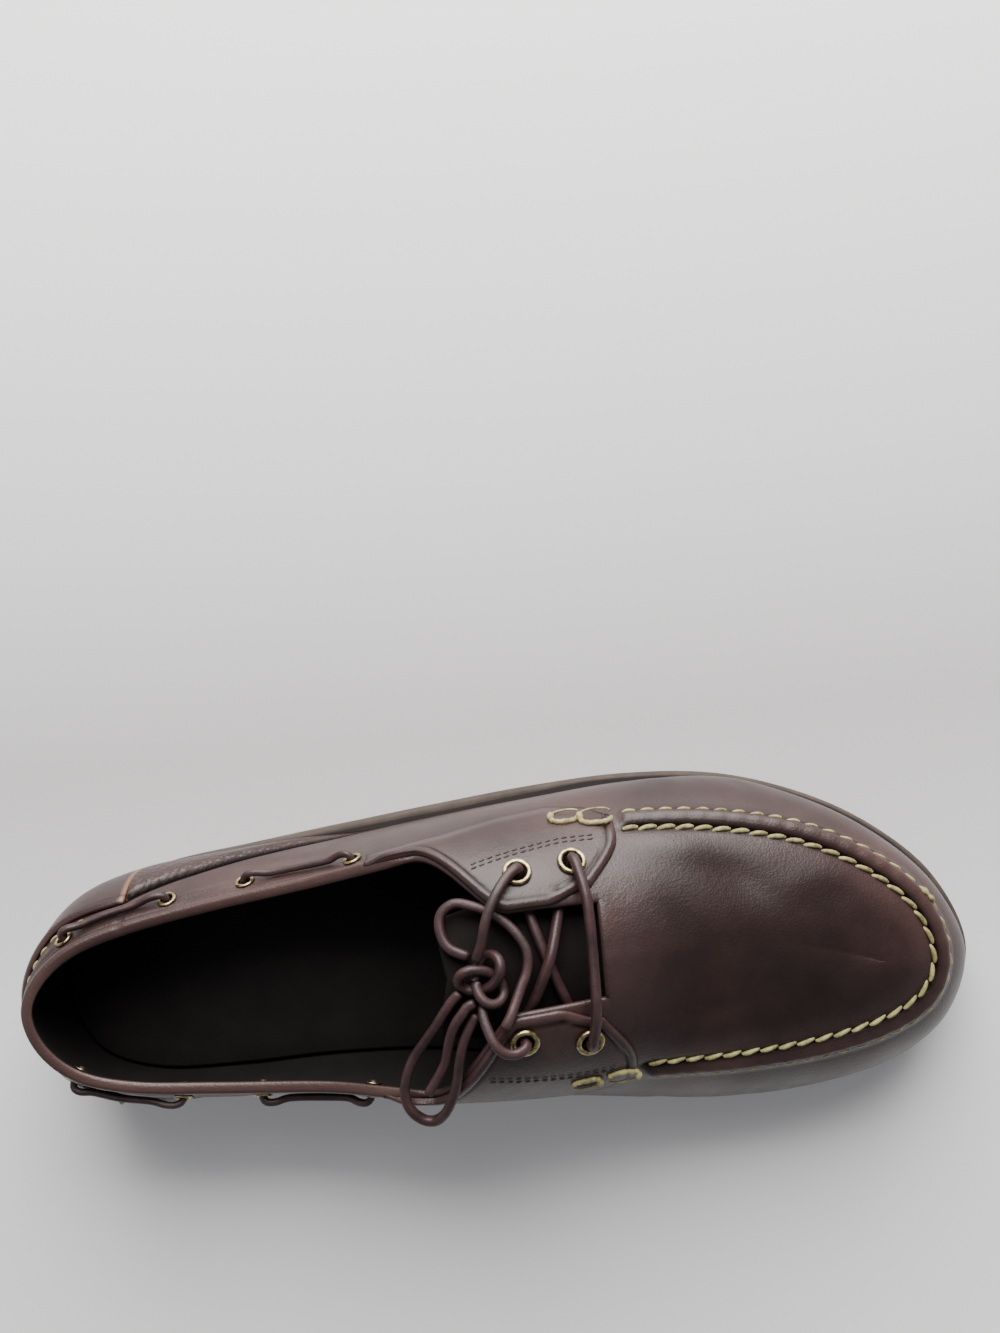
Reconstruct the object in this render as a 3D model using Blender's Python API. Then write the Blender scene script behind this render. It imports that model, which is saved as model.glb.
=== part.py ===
"""Left boat shoe with a hand-sewn plug, a rubber sole and a thong round its collar.

All lengths are in metres. The shoe is drawn with the back of its heel at x = 0, the toe
towards +X, its outer side towards +Y and the floor at z = 0. An empty carries every
piece, so that the middle of the footprint comes to the origin.

A place on the upper is given by two numbers. The turn u runs round the shoe: 0 at the
back of the heel, 13 at the toe tip along the outer side, and on to 26 along the inner
side. The rise v is 0 where the upper meets the sole, 1 at the collar or at the plug's
seam, and 2 on the ridge line of the instep.
"""
import math
from functools import lru_cache

import bmesh
import bpy
import numpy as np
from mathutils import Vector

MM = 0.001

# Main sizes
SOLE_LENGTH = 300 * MM
BALL_WIDTH = 104 * MM
HEEL_HEIGHT = 67 * MM        # floor to the top of the collar at the back
INSTEP_HEIGHT = 84 * MM      # floor to the ridge line above the back of the throat
FIT_GAP = 0.3 * MM           # between pieces that meet

# Sole
HEEL_STACK = 23 * MM
BALL_STACK = 13.5 * MM
TOE_SPRING = 9 * MM
ARCH_RISE = 2.5 * MM
SOLE_LEDGE = 3.2 * MM        # how far the sole stands out past the upper
SIDE_GROOVE = 0.9 * MM       # depth of the groove along the sole's side
TREAD_CHAMFER = 1.6 * MM

# Upper
UPPER_WALL = 2.2 * MM
SIDE_BULGE = 4.5 * MM
SEAM_HEIGHT = 2.0 * MM       # raised seam round the plug
SEAM_HALF_WIDTH = 3.4 * MM
ROLL_HEIGHT = 0.9 * MM       # rolled edge of the collar
ROLL_WIDTH = 3.2 * MM
STEP_RUN = 0.9 * MM          # length over which the leather steps up
OVERLAY_LEATHER = 1.3 * MM   # eyestays and heel kicker
OVERLAY_GAP = 0.35 * MM      # under them

# Inside
INSOLE_THICKNESS = 3 * MM
TONGUE_THICKNESS = 2 * MM

# Metal rings and laces
LACE_HOLE = 2.7 * MM         # radius of the hole in a lace eyelet
LACE_FLANGE = 4.4 * MM
THONG_HOLE = 1.9 * MM        # radius of the hole in a collar eyelet
THONG_FLANGE = 3.0 * MM
RING_BARREL = 0.5 * MM       # thickness of the barrel
RING_HEIGHT = 1.0 * MM
COLLAR_RING_HEIGHT = 0.6 * MM
LACE_RADIUS = 1.45 * MM
LACE_ROOM = 1.3 * MM         # under the facings, for the foot of an eyelet
THONG_RADIUS = 1.1 * MM
THONG_DROP = 7.2 * MM        # collar eyelets below the collar's edge
CUT_DEPTH = 14 * MM          # bars that cut the holes for the eyelets
ROUTE_BEND = math.radians(18)    # turn of a cord between two points of its route
ROUTE_STEP = 8 * MM          # longest straight of a cord

# Rows go from the back of the heel to the toe tip. In the first two tables x is a share
# of the sole's length, and y a share of the ball width. The ledge is a share of SOLE_LEDGE.
SOLE_LINE = (
    # x, outer y, inner y, outer ledge, inner ledge
    (0.000, 0.005, 0.005, 0.60, 0.60),
    (0.017, 0.169, -0.159, 0.55, 0.60),
    (0.053, 0.284, -0.274, 0.45, 0.60),
    (0.120, 0.348, -0.332, 0.45, 0.60),
    (0.210, 0.383, -0.336, 0.60, 0.60),
    (0.317, 0.422, -0.327, 0.90, 0.60),
    (0.427, 0.460, -0.346, 1.05, 0.60),
    (0.540, 0.493, -0.409, 1.15, 0.60),
    (0.653, 0.509, -0.474, 1.15, 0.60),
    (0.760, 0.482, -0.491, 0.70, 0.60),
    (0.853, 0.394, -0.463, 1.00, 0.65),
    (0.923, 0.271, -0.407, 1.10, 0.75),
    (0.975, 0.113, -0.293, 1.10, 0.85),
    (1.000, -0.096, -0.096, 0.80, 0.80),
)
TOP_LINE = (
    # x, outer y, inner y, heel-height share, instep-height share, turn-in, outer and inner bulge
    (0.027, -0.018, -0.018, 1.000, 0.000, 0.00, 1.00, 1.00),
    (0.040, 0.077, -0.129, 0.985, 0.000, 0.00, 1.20, 1.00),
    (0.073, 0.153, -0.218, 0.948, 0.000, 0.00, 1.45, 1.10),
    (0.127, 0.202, -0.268, 0.903, 0.000, 0.00, 1.45, 1.30),
    (0.213, 0.248, -0.293, 0.866, 0.000, 0.00, 1.10, 1.30),
    (0.327, 0.298, -0.311, 0.881, 0.000, 0.05, 0.55, 1.20),
    (0.433, 0.351, -0.335, 0.000, 0.786, 0.35, 0.30, 1.20),
    (0.540, 0.376, -0.336, 0.000, 0.730, 0.75, 0.45, 1.30),
    (0.643, 0.380, -0.317, 0.000, 0.664, 1.00, 0.80, 1.50),
    (0.740, 0.355, -0.317, 0.000, 0.616, 1.00, 1.00, 1.60),
    (0.827, 0.291, -0.298, 0.000, 0.582, 1.00, 0.80, 1.50),
    (0.893, 0.187, -0.254, 0.000, 0.563, 1.00, 0.60, 1.10),
    (0.935, 0.067, -0.183, 0.000, 0.552, 1.00, 0.50, 0.70),
    (0.950, -0.073, -0.073, 0.000, 0.546, 1.00, 0.50, 0.50),
)
# The ridge line starts at row 5, under the wearer's shin. The crown says how soon the
# leather turns level on its way up from the seam.
RIDGE_FIRST = 5
RIDGE_LINE = (
    # x, y, share of the instep height, crown
    (0.373, -0.010, 1.010, 0.35),
    (0.457, 0.005, 1.000, 0.35),
    (0.543, 0.025, 0.960, 0.35),
    (0.643, 0.030, 0.850, 0.42),
    (0.723, 0.030, 0.765, 0.50),
    (0.790, 0.012, 0.706, 0.55),
    (0.840, -0.025, 0.664, 0.55),
    (0.873, -0.056, 0.638, 0.55),
    (0.887, -0.073, 0.628, 0.55),
)
ROWS = len(SOLE_LINE) - 1
TURN = 2 * ROWS              # rows once round the shoe
THROAT_BACK = 6.0            # row where the collar turns up to the throat
THROAT_CORNER = 6.9
PLUG_START = 7.75            # row of the throat's front edge
SEAM_START = 7.97            # row where the raised seam comes out from under the eyestay
SEAM_FADE = 0.40
ROLL_END = 5.5               # row where the collar's rolled edge runs under the eyestay
THROAT_RISE = (0.58, 0.70)   # how far the outer and inner facings reach to the ridge


def smooth(value, start, end):
    """Soft step from 0 to 1."""
    share = np.clip((value - start) / (end - start), 0.0, 1.0)
    return share * share * (3 - 2 * share)


def blend_rows(before, here, after, beyond, share):
    """Smooth curve from one row to the next."""
    linear = (after - before) * share
    square = (2 * before - 5 * here + 4 * after - beyond) * share ** 2
    cube = (3 * here - before - 3 * after + beyond) * share ** 3
    return 0.5 * (2 * here + linear + square + cube)


def closed_rows(outer, inner):
    """Joins the outer rows and the inner rows into one ring."""
    return np.array(list(outer) + list(inner[-2:0:-1]))


def read_ring(ring, u):
    """Value of a ring at the turn u."""
    row = math.floor(u)
    picks = [ring[(row + step) % TURN] for step in (-1, 0, 1, 2)]
    return blend_rows(*picks, u - row)


def read_ridge(line, u):
    """Value of a ridge column, which the outer and inner side share."""
    w = min(u % TURN, TURN - u % TURN) - RIDGE_FIRST
    last = len(line) - 1
    row = min(int(math.floor(w)), last)
    picks = []
    for step in (-1, 0, 1, 2):
        at = max(row + step, 0)
        picks.append(line[2 * last - at] if at > last else line[at])
    return blend_rows(*picks, w - row)


def sole_ring():
    rows = SOLE_LINE
    outer = [(SOLE_LENGTH * r[0], BALL_WIDTH * r[1]) for r in rows]
    inner = [(SOLE_LENGTH * r[0], BALL_WIDTH * r[2]) for r in rows]
    return closed_rows(outer, inner)


def ledge_ring():
    outer = [(SOLE_LEDGE * r[3],) for r in SOLE_LINE]
    inner = [(SOLE_LEDGE * r[4],) for r in SOLE_LINE]
    return closed_rows(outer, inner)


def top_ring():
    sides = []
    for y_column, bulge_column in ((1, 6), (2, 7)):
        side = []
        for r in TOP_LINE:
            height = HEEL_HEIGHT * r[3] + INSTEP_HEIGHT * r[4]
            side.append((SOLE_LENGTH * r[0], BALL_WIDTH * r[y_column], height, r[5], r[bulge_column]))
        sides.append(side)
    return closed_rows(*sides)


def ridge_rows():
    rows = []
    for x, y, height, crown in RIDGE_LINE:
        rows.append((SOLE_LENGTH * x, BALL_WIDTH * y, INSTEP_HEIGHT * height, crown))
    return np.array(rows)


SOLE_RING = sole_ring()
LEDGE_RING = ledge_ring()
TOP_RING = top_ring()
RIDGE_ROWS = ridge_rows()
FOOTPRINT_MIDDLE = (SOLE_LENGTH / 2, (SOLE_RING[:, 1].max() + SOLE_RING[:, 1].min()) / 2)

# Places along the sole, as shares of its length
HEEL_PAD_END = 0.30
WAIST_START = 0.36
WAIST_END = 0.47
BALL_PAD_START = 0.54
SPRING_START = 0.70
STACK_DROP_START = 0.22
STACK_DROP_END = 0.64


def toe_lift(x):
    """How far the sole has left the floor at x, on its way up to the toe."""
    share = np.clip((x / SOLE_LENGTH - SPRING_START) / (1 - SPRING_START), 0.0, None)
    return TOE_SPRING * share ** 1.8


def tread_height(x):
    """Height of the sole's underside."""
    share = x / SOLE_LENGTH
    arch = smooth(share, HEEL_PAD_END, WAIST_START) * (1 - smooth(share, WAIST_END, BALL_PAD_START))
    return toe_lift(x) + ARCH_RISE * arch


def sole_top(x):
    """Height of the sole's upper face."""
    drop = smooth(x / SOLE_LENGTH, STACK_DROP_START, STACK_DROP_END)
    return toe_lift(x) + HEEL_STACK + (BALL_STACK - HEEL_STACK) * drop


def outline(u, inset):
    """Point of the sole's outline, moved in by the inset."""
    here = read_ring(SOLE_RING, u)
    along = read_ring(SOLE_RING, u + 0.02) - read_ring(SOLE_RING, u - 0.02)
    along = along / np.linalg.norm(along)
    outward = np.array((-along[1], along[0]))
    return here - outward * inset, outward


def bezier(points, share):
    """Point of a curve with three or four control points."""
    rest = [np.asarray(p, float) for p in points]
    while len(rest) > 1:
        rest = [a + (b - a) * share for a, b in zip(rest, rest[1:])]
    return rest[0]


CURVE_STEPS = 40
LOW_RISE, LOW_LEAN = 0.38, 0.33      # lower control point of the side: shares of the way up and in
HIGH_SHARE = 0.67            # upper control point of a side that doesn't turn in
TURNED_DROP = 0.42           # upper control point of a side that turns in to the plug
CROWN_DROP = 0.05            # the plug's control point below the ridge


@lru_cache(maxsize=None)
def section(u):
    """The upper's section at u: points and lengths of its side and of its top."""
    foot_xy, outward = outline(u, read_ring(LEDGE_RING, u)[0])
    out = np.array((outward[0], outward[1], 0.0))
    up = np.array((0.0, 0.0, 1.0))
    foot = np.array((foot_xy[0], foot_xy[1], sole_top(foot_xy[0]) + FIT_GAP))
    top = read_ring(TOP_RING, u)
    edge, turn, bulge = top[:3], min(max(top[3], 0.0), 1.0), top[4] * SIDE_BULGE
    rise = (edge - foot)[2] * up
    lean = edge - foot - rise
    low = foot + LOW_RISE * rise + (1 - turn) * LOW_LEAN * lean + bulge * out
    high = foot + HIGH_SHARE * (rise + lean) + bulge * out
    shares = np.linspace(0, 1, CURVE_STEPS + 1)
    parts = []
    if min(u % TURN, TURN - u % TURN) >= RIDGE_FIRST:
        x, y, z, crown = read_ridge(RIDGE_ROWS, u)
        ridge = np.array((x, y, z))
        reach = (ridge - edge) * np.array((1, 1, 0))
        shoulder = edge + crown * reach
        shoulder[2] = z - CROWN_DROP * (z - edge[2])
        parts.append(np.array([bezier((edge, shoulder, ridge), s) for s in shares]))
        inward = (shoulder - edge) / np.linalg.norm(shoulder - edge)
        turned = edge - inward * TURNED_DROP * rise[2]
        high = high + (turned - high) * turn
    parts.insert(0, np.array([bezier((foot, low, high, edge), s) for s in shares]))
    result = []
    for points in parts:
        steps = np.linalg.norm(np.diff(points, axis=0), axis=1)
        result.append((points, np.concatenate(((0.0,), np.cumsum(steps)))))
    return result


def section_point(u, v):
    """Point of the upper's middle form at the turn u and the rise v."""
    part = 1 if v > 1 else 0
    points, lengths = section(round(u % TURN, 6))[part]
    at = (v - part) * lengths[-1]
    return np.array([np.interp(at, lengths, points[:, axis]) for axis in range(3)])


def side_length(u):
    """Length of the side at u, from the sole to the collar or seam."""
    return section(round(u % TURN, 6))[0][1][-1]


def top_length(u):
    """Length of the plug or facing's line at u, from the seam to the ridge."""
    return section(round(u % TURN, 6))[1][1][-1]


def rise_at(u, from_edge):
    """The rise v that lies a given length from the collar or seam, down if negative."""
    if from_edge <= 0:
        return 1 + from_edge / side_length(u)
    return 1 + from_edge / top_length(u)


def raw_normal(u, v):
    du, dv = 0.03, 0.015
    low, high = max(v - dv, 0.0), min(v + dv, 1.0 if v <= 1 else 1.985)
    if v > 1:
        low = max(low, 1.0)
    if high - low < dv:
        low = high - dv
    along_u = section_point(u + du, min(v, 1.97)) - section_point(u - du, min(v, 1.97))
    along_v = section_point(u, high) - section_point(u, low)
    normal = np.cross(along_v, along_u)
    return normal / np.linalg.norm(normal)


def normal_at(u, v):
    """Outward direction of the upper, level at the sole and shared along the ridge."""
    normal = raw_normal(u, min(v, 1.9))
    if abs(v - 1) < 0.02 and throat_rise(u) > 0:
        normal = raw_normal(u, 1 - 0.02) + raw_normal(u, 1 + 0.02)
    if v > 1.9:
        both = raw_normal(u, 1.9) + raw_normal(TURN - u, 1.9)
        normal = normal + (both / np.linalg.norm(both) - normal) * float(smooth(v, 1.9, 2.0))
    normal = normal * np.array((1, 1, float(smooth(v, -0.02, 0.2))))
    return normal / np.linalg.norm(normal)


def throat_rise(u):
    """How far past the edge the facing reaches at u: 0 along the collar."""
    u = u % TURN
    reach = THROAT_RISE[0] if u < ROWS else THROAT_RISE[1]
    return reach * float(smooth(min(u, TURN - u), THROAT_BACK, THROAT_CORNER))


def skin(u, v, out):
    """Point at a height out above the upper's plain outer face."""
    return section_point(u, v) + normal_at(u, v) * out


def relief(u, v):
    """Extra thickness of the raised seam and of the rolled collar edge."""
    u = u % TURN
    w = min(u, TURN - u)
    from_edge = (v - 1) * (side_length(u) if v <= 1 else top_length(u))
    seam = 1 - smooth(abs(from_edge), SEAM_HALF_WIDTH, SEAM_HALF_WIDTH + STEP_RUN)
    roll = 1 - smooth(-from_edge, ROLL_WIDTH, ROLL_WIDTH + STEP_RUN)
    in_plug = smooth(w, SEAM_START, SEAM_START + SEAM_FADE)
    in_collar = 1 - smooth(w, ROLL_END - 0.4, ROLL_END)
    return float(SEAM_HEIGHT * seam * in_plug + ROLL_HEIGHT * roll * in_collar)


def new_object(name, mesh, material):
    part = bpy.data.objects.new(name, mesh)
    bpy.context.collection.objects.link(part)
    part.parent = CARRIER
    part.data.materials.append(material)
    return part


def finish_mesh(name, bm, material):
    """Turns a closed body into an object whose faces point out."""
    bmesh.ops.remove_doubles(bm, verts=bm.verts, dist=1e-7)
    bmesh.ops.recalc_face_normals(bm, faces=bm.faces)
    mesh = bpy.data.meshes.new(name)
    bm.to_mesh(mesh)
    bm.free()
    mesh.shade_smooth()
    mesh.set_sharp_from_angle(angle=math.radians(35))
    return new_object(name, mesh, material)


def body_between(name, cells, outer, inner, material):
    """One closed body: outer skin, inner skin and a strip along every free edge.

    cells holds tuples of keys, and outer and inner give the point of each key.
    """
    bm = bmesh.new()
    outside = {key: bm.verts.new(point) for key, point in outer.items()}
    inside = {key: bm.verts.new(point) for key, point in inner.items()}
    free_edges = {}
    for cell in cells:
        keys = [key for i, key in enumerate(cell) if key != cell[i - 1]]
        if len(keys) < 3:
            continue
        bm.faces.new([outside[key] for key in keys])
        bm.faces.new([inside[key] for key in reversed(keys)])
        for i, key in enumerate(keys):
            pair = frozenset((keys[i - 1], key))
            if pair in free_edges:
                del free_edges[pair]
            else:
                free_edges[pair] = (keys[i - 1], key)
    for first, second in free_edges.values():
        bm.faces.new((outside[second], outside[first], inside[first], inside[second]))
    return finish_mesh(name, bm, material)


def surface(name, colour, roughness, metallic=0.0):
    """Plain material with the piece's colour, roughness and metallic value."""
    material = bpy.data.materials.new(name)
    material.use_nodes = True
    shader = material.node_tree.nodes["Principled BSDF"]
    shader.inputs["Base Color"].default_value = (*colour, 1.0)
    shader.inputs["Roughness"].default_value = roughness
    shader.inputs["Metallic"].default_value = metallic
    return material


# Columns of the grids: closer together where the outline turns
def column_turns():
    half = list(np.arange(0, 3, 0.3333)) + list(np.arange(3, THROAT_BACK, 0.5))
    half += list(np.arange(THROAT_BACK, PLUG_START + 0.3, 0.25))
    half += list(np.arange(PLUG_START + 0.5, 10, 0.35)) + list(np.arange(10, ROWS, 0.3))
    half = [round(float(u), 4) for u in half]
    return half + [float(ROWS)] + [TURN - u for u in reversed(half[1:])]


SIDE_SHARES = (0.0, 0.18, 0.38, 0.60, 0.81)
PLUG_CELLS = 3


def upper_column(u):
    """Rises of one column of the upper: side, facing and plug."""
    w = min(u, TURN - u)
    in_collar = 1 - float(smooth(w, ROLL_END - 0.4, ROLL_END))
    band = SEAM_HALF_WIDTH + (ROLL_WIDTH - SEAM_HALF_WIDTH) * in_collar
    top_of_side = rise_at(u, -band - STEP_RUN)
    side = [share * top_of_side for share in SIDE_SHARES]
    side += [top_of_side, rise_at(u, -band), 1.0]
    facing = []
    reach = throat_rise(u)
    if reach > 0:
        length = top_length(u)
        first = min(SEAM_HALF_WIDTH / length, 0.34 * reach)
        second = min((SEAM_HALF_WIDTH + STEP_RUN) / length, 0.5 * reach)
        facing = [1 + first, 1 + second, 1 + (second + reach) / 2, 1 + reach]
    plug = []
    if w >= PLUG_START:
        plug = [1 + reach + (1 - reach) * k / PLUG_CELLS for k in range(1, PLUG_CELLS + 1)]
    return side, facing, plug


def make_upper(material):
    """Hollow upper: side walls, facings and plug in one wall of leather."""
    turns = column_turns()
    count = len(turns)
    outer, inner, columns = {}, {}, []
    for i, u in enumerate(turns):
        side, facing, plug = upper_column(u)
        rises = side + facing + plug
        keys = []
        for j, v in enumerate(rises):
            key = (i, j)
            if v > 1.999:
                key = ("ridge", min(i, count - i))
            if key not in outer:
                outer[key] = skin(u, v, relief(u, v))
                inner[key] = skin(u, v, -UPPER_WALL)
            keys.append(key)
        columns.append(keys)
    side_count = len(SIDE_SHARES) + 3
    cells = []
    for i in range(count):
        here, there = columns[i], columns[(i + 1) % count]
        shared = min(len(here), len(there))
        for j in range(shared - 1):
            cells.append((here[j], there[j], there[j + 1], here[j + 1]))
        longer = here if len(here) > len(there) else there
        if shared == side_count and len(longer) > shared:
            # the corner where the collar turns up to the throat
            corner = (here if longer is there else there)[-1]
            for j in range(shared - 1, side_count + 3):
                pair = (longer[j], longer[j + 1])
                cells.append((corner, *pair) if longer is there else (corner, *reversed(pair)))
    return body_between("upper", cells, outer, inner, material)


def strip_keys(turns):
    """Pairs of columns that face each other across the shoe."""
    return [(i, (len(turns) - i) % len(turns)) for i in range(len(turns) // 2 + 1)]


ACROSS = 3                   # cells across the sole


def make_outsole(material):
    """Rubber sole: flared side with a groove, arch, toe spring and tread pads."""
    turns = column_turns()
    levels = (
        # inset, share of the sole's thickness there, further lift
        (TREAD_CHAMFER, 0.0, 0.0),
        (0.3 * TREAD_CHAMFER, 0.0, 0.6 * TREAD_CHAMFER),
        (0.0, 0.30, 0.0),
        (0.0, 0.58, 0.0),
        (SIDE_GROOVE, 0.62, 0.0),
        (SIDE_GROOVE, 0.68, 0.0),
        (0.1 * SIDE_GROOVE, 0.72, 0.0),
        (0.1 * SIDE_GROOVE, 0.95, 0.0),
        (0.7 * SIDE_GROOVE, 1.0, 0.0),
    )
    bm = bmesh.new()
    rings = []
    for inset, share, lift in levels:
        ring = []
        for u in turns:
            (x, y), _ = outline(u, inset)
            low, high = float(tread_height(x)), float(sole_top(x))
            ring.append(bm.verts.new((x, y, low + share * (high - low) + lift)))
        rings.append(ring)
    count = len(turns)
    for lower, upper in zip(rings, rings[1:]):
        for i in range(count):
            j = (i + 1) % count
            bm.faces.new((lower[i], lower[j], upper[j], upper[i]))
    for ring, height in ((rings[0], tread_height), (rings[-1], sole_top)):
        close_across(bm, ring, turns, height)
    return finish_mesh("outsole", bm, material)


def close_across(bm, ring, turns, height):
    """Closes a ring with strips from its outer side to its inner side."""
    lines = []
    for i, j in strip_keys(turns):
        if i == j:
            lines.append([ring[i]] * (ACROSS + 1))
            continue
        line = [ring[i]]
        for step in range(1, ACROSS):
            point = ring[i].co.lerp(ring[j].co, step / ACROSS)
            line.append(bm.verts.new((point.x, point.y, float(height(point.x)))))
        line.append(ring[j])
        lines.append(line)
    for first, second in zip(lines, lines[1:]):
        for a, b, c, d in zip(first, first[1:], second[1:], second):
            corners = []
            for vert in (a, b, c, d):
                if vert not in corners:
                    corners.append(vert)
            if len(corners) > 2:
                bm.faces.new(corners)


def make_insole(material):
    """Footbed that lies on the sole inside the upper."""
    turns = column_turns()
    bm = bmesh.new()
    rings = []
    for lift in (FIT_GAP, FIT_GAP + INSOLE_THICKNESS):
        ring = []
        for u in turns:
            inset = read_ring(LEDGE_RING, u)[0] + UPPER_WALL + 2 * FIT_GAP
            (x, y), _ = outline(u, inset)
            ring.append(bm.verts.new((x, y, float(sole_top(x)) + lift)))
        rings.append(ring)
    for i in range(len(turns)):
        j = (i + 1) % len(turns)
        bm.faces.new((rings[0][i], rings[0][j], rings[1][j], rings[1][i]))
    close_across(bm, rings[0], turns, lambda x: sole_top(x) + FIT_GAP)
    close_across(bm, rings[1], turns, lambda x: sole_top(x) + FIT_GAP + INSOLE_THICKNESS)
    return finish_mesh("insole", bm, material)


def crown_point(w, across, out):
    """Point over the instep: across is 1 at the outer seam, 0 on the ridge, -1 at the inner."""
    u = w if across >= 0 else TURN - w
    return skin(u, 2 - abs(across), out)


TONGUE_BACK, TONGUE_FRONT = 6.15, 8.5
TONGUE_STEP = (7.6, 8.2)     # rows where it rises from under the laces to the plug
TONGUE_HALF = 0.62           # half width at the back, as a share of the way to the seam


def tongue_top(w):
    """Depth of the tongue's upper face: under the laces in the throat, close to the plug in front."""
    under_laces = UPPER_WALL + LACE_ROOM + 2 * LACE_RADIUS + 3 * FIT_GAP
    under_plug = UPPER_WALL + 2 * FIT_GAP
    return -under_laces + (under_laces - under_plug) * float(smooth(w, *TONGUE_STEP))


def make_tongue(material):
    """Tongue under the throat, from the plug to the back of the facings."""
    rows, columns = 10, 8
    outer, inner = {}, {}
    for i in range(rows + 1):
        along = i / rows
        w = TONGUE_BACK + (TONGUE_FRONT - TONGUE_BACK) * along
        corner = 1 - 0.22 * (1 - along) ** 3
        top = tongue_top(w)
        for j in range(columns + 1):
            across = TONGUE_HALF * corner * (2 * j / columns - 1)
            outer[(i, j)] = crown_point(w, across, top)
            inner[(i, j)] = crown_point(w, across, top - TONGUE_THICKNESS)
    cells = []
    for i in range(rows):
        for j in range(columns):
            cells.append(((i, j), (i + 1, j), (i + 1, j + 1), (i, j + 1)))
    return body_between("tongue", cells, outer, inner, material)


def patch(name, turns, across, place, lift, thickness, material):
    """Piece of leather laid over the upper, its underside a given height above it."""
    outer, inner, cells = {}, {}, []
    for i, u in enumerate(turns):
        for j in range(across + 1):
            at = place(u, j / across)
            base = relief(*at) + lift
            inner[(i, j)] = skin(*at, base)
            outer[(i, j)] = skin(*at, base + thickness)
    for i in range(len(turns) - 1):
        for j in range(across):
            cells.append(((i, j), (i + 1, j), (i + 1, j + 1), (i, j + 1)))
    return body_between(name, cells, outer, inner, material)


# Lower edge of the eyestay: row and rise
EYESTAY_EDGE = (
    (5.55, 0.81),
    (6.30, 0.79),
    (6.80, 0.70),
    (7.25, 0.68),
    (7.65, 0.79),
    (7.95, 0.93),
)
EYESTAY_FRONT = 7.94
EYESTAY_ROUND = 0.24         # how far the front corner is rounded, in rows


def eyestay_low(w):
    return float(np.interp(w, *zip(*EYESTAY_EDGE)))


def make_eyestay(name, outer_side, material):
    """Leather over the facing, rounded at its front corner."""
    back = EYESTAY_EDGE[0][0]
    steps, cells = 11, 6

    def place(share, rise):
        front = EYESTAY_FRONT - EYESTAY_ROUND * float(smooth(rise, 0.62, 1.3)) * 2
        w = back + (front - back) * share
        u = w if outer_side else TURN - w
        if rise <= 0.5:
            return u, eyestay_low(w) + (1 - eyestay_low(w)) * rise * 2
        return u, 1 + throat_rise(u) * (rise - 0.5) * 2

    shares = [i / steps for i in range(steps + 1)]
    return patch(name, shares, cells, place, OVERLAY_GAP, OVERLAY_LEATHER, material)


KICKER_OUTER, KICKER_INNER = 2.95, 2.6      # rows of its front edges
KICKER_RISE = 0.66           # its top edge, as a rise up the side
KICKER_TIP = 0.06            # extra rise at the front edges


def make_kicker(material):
    """Leather round the back of the heel, from the sole to below the collar."""
    inner_side = [u for u in column_turns() if u > TURN - KICKER_INNER]
    outer_side = [u for u in column_turns() if u < KICKER_OUTER]
    turns = [TURN - KICKER_INNER] + inner_side + [TURN + u for u in outer_side]
    turns.append(TURN + KICKER_OUTER)

    def place(u, rise):
        w = abs(u - TURN)
        top = KICKER_RISE + KICKER_TIP * float(smooth(w, 1.5, 3))
        low = 0.01
        return u % TURN, low + (top - low) * rise

    return patch("heel_kicker", turns, 5, place, OVERLAY_GAP, OVERLAY_LEATHER, material)


LACE_EYELETS = {
    # turn, rise
    "front_outer": (7.50, 1.307),
    "back_outer": (6.99, 1.346),
    "front_inner": (18.485, 1.440),
    "back_inner": (19.08, 1.540),
}
THONG_ROWS = (5.40, 4.36, 3.54, 1.90)
LACE_RING_STEPS = 12
THONG_RING_STEPS = 8


def spot(u, v, out):
    """Point and outward direction on the upper, as tuples."""
    return skin(u, v, out), normal_at(u, v)


def turned_ring(name, profile, steps, at, axis, material):
    """Ring turned from a closed profile of radius and height pairs."""
    helper = np.array((0.0, 0.0, 1.0)) if abs(axis[2]) < 0.9 else np.array((1.0, 0.0, 0.0))
    side = np.cross(helper, axis)
    side = side / np.linalg.norm(side)
    front = np.cross(axis, side)
    bm = bmesh.new()
    loops = []
    for step in range(steps):
        angle = 2 * math.pi * step / steps
        ray = side * math.cos(angle) + front * math.sin(angle)
        loops.append([bm.verts.new(at + ray * r + axis * z) for r, z in profile])
    for here, there in zip(loops, loops[1:] + loops[:1]):
        for i in range(len(profile)):
            bm.faces.new((here[i - 1], there[i - 1], there[i], here[i]))
    return finish_mesh(name, bm, material)


def ring_profile(hole, flange, height, above):
    """Section of an eyelet. Heights count from the upper's plain outer face."""
    barrel = hole + RING_BARREL
    rim = above + FIT_GAP
    foot = -UPPER_WALL - 3 * FIT_GAP
    crest = rim + height
    return (
        (hole, crest - 0.3 * height),
        (hole + 0.3 * (flange - hole), crest),
        (hole + 0.7 * (flange - hole), crest),
        (flange, rim + 0.35 * height),
        (flange, rim),
        (barrel, rim),
        (barrel, foot),
        (0.5 * (barrel + flange), foot),
        (0.5 * (barrel + flange), foot - 0.6 * height),
        (hole, foot - 0.6 * height),
    )


def hole_cutter(name, radius, at, axis):
    """Hidden round bar that cuts a hole across the leather."""
    bm = bmesh.new()
    bmesh.ops.create_cone(
        bm, cap_ends=True, segments=LACE_RING_STEPS, radius1=radius, radius2=radius, depth=CUT_DEPTH
    )
    mesh = bpy.data.meshes.new(name)
    bm.to_mesh(mesh)
    bm.free()
    cutter = bpy.data.objects.new(name, mesh)
    CUTTERS.objects.link(cutter)
    cutter.parent = CARRIER
    cutter.location = Vector(at)
    cutter.rotation_euler = Vector(axis).to_track_quat("Z", "Y").to_euler()
    cutter.hide_render = True
    cutter.display_type = "WIRE"
    return cutter


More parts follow.
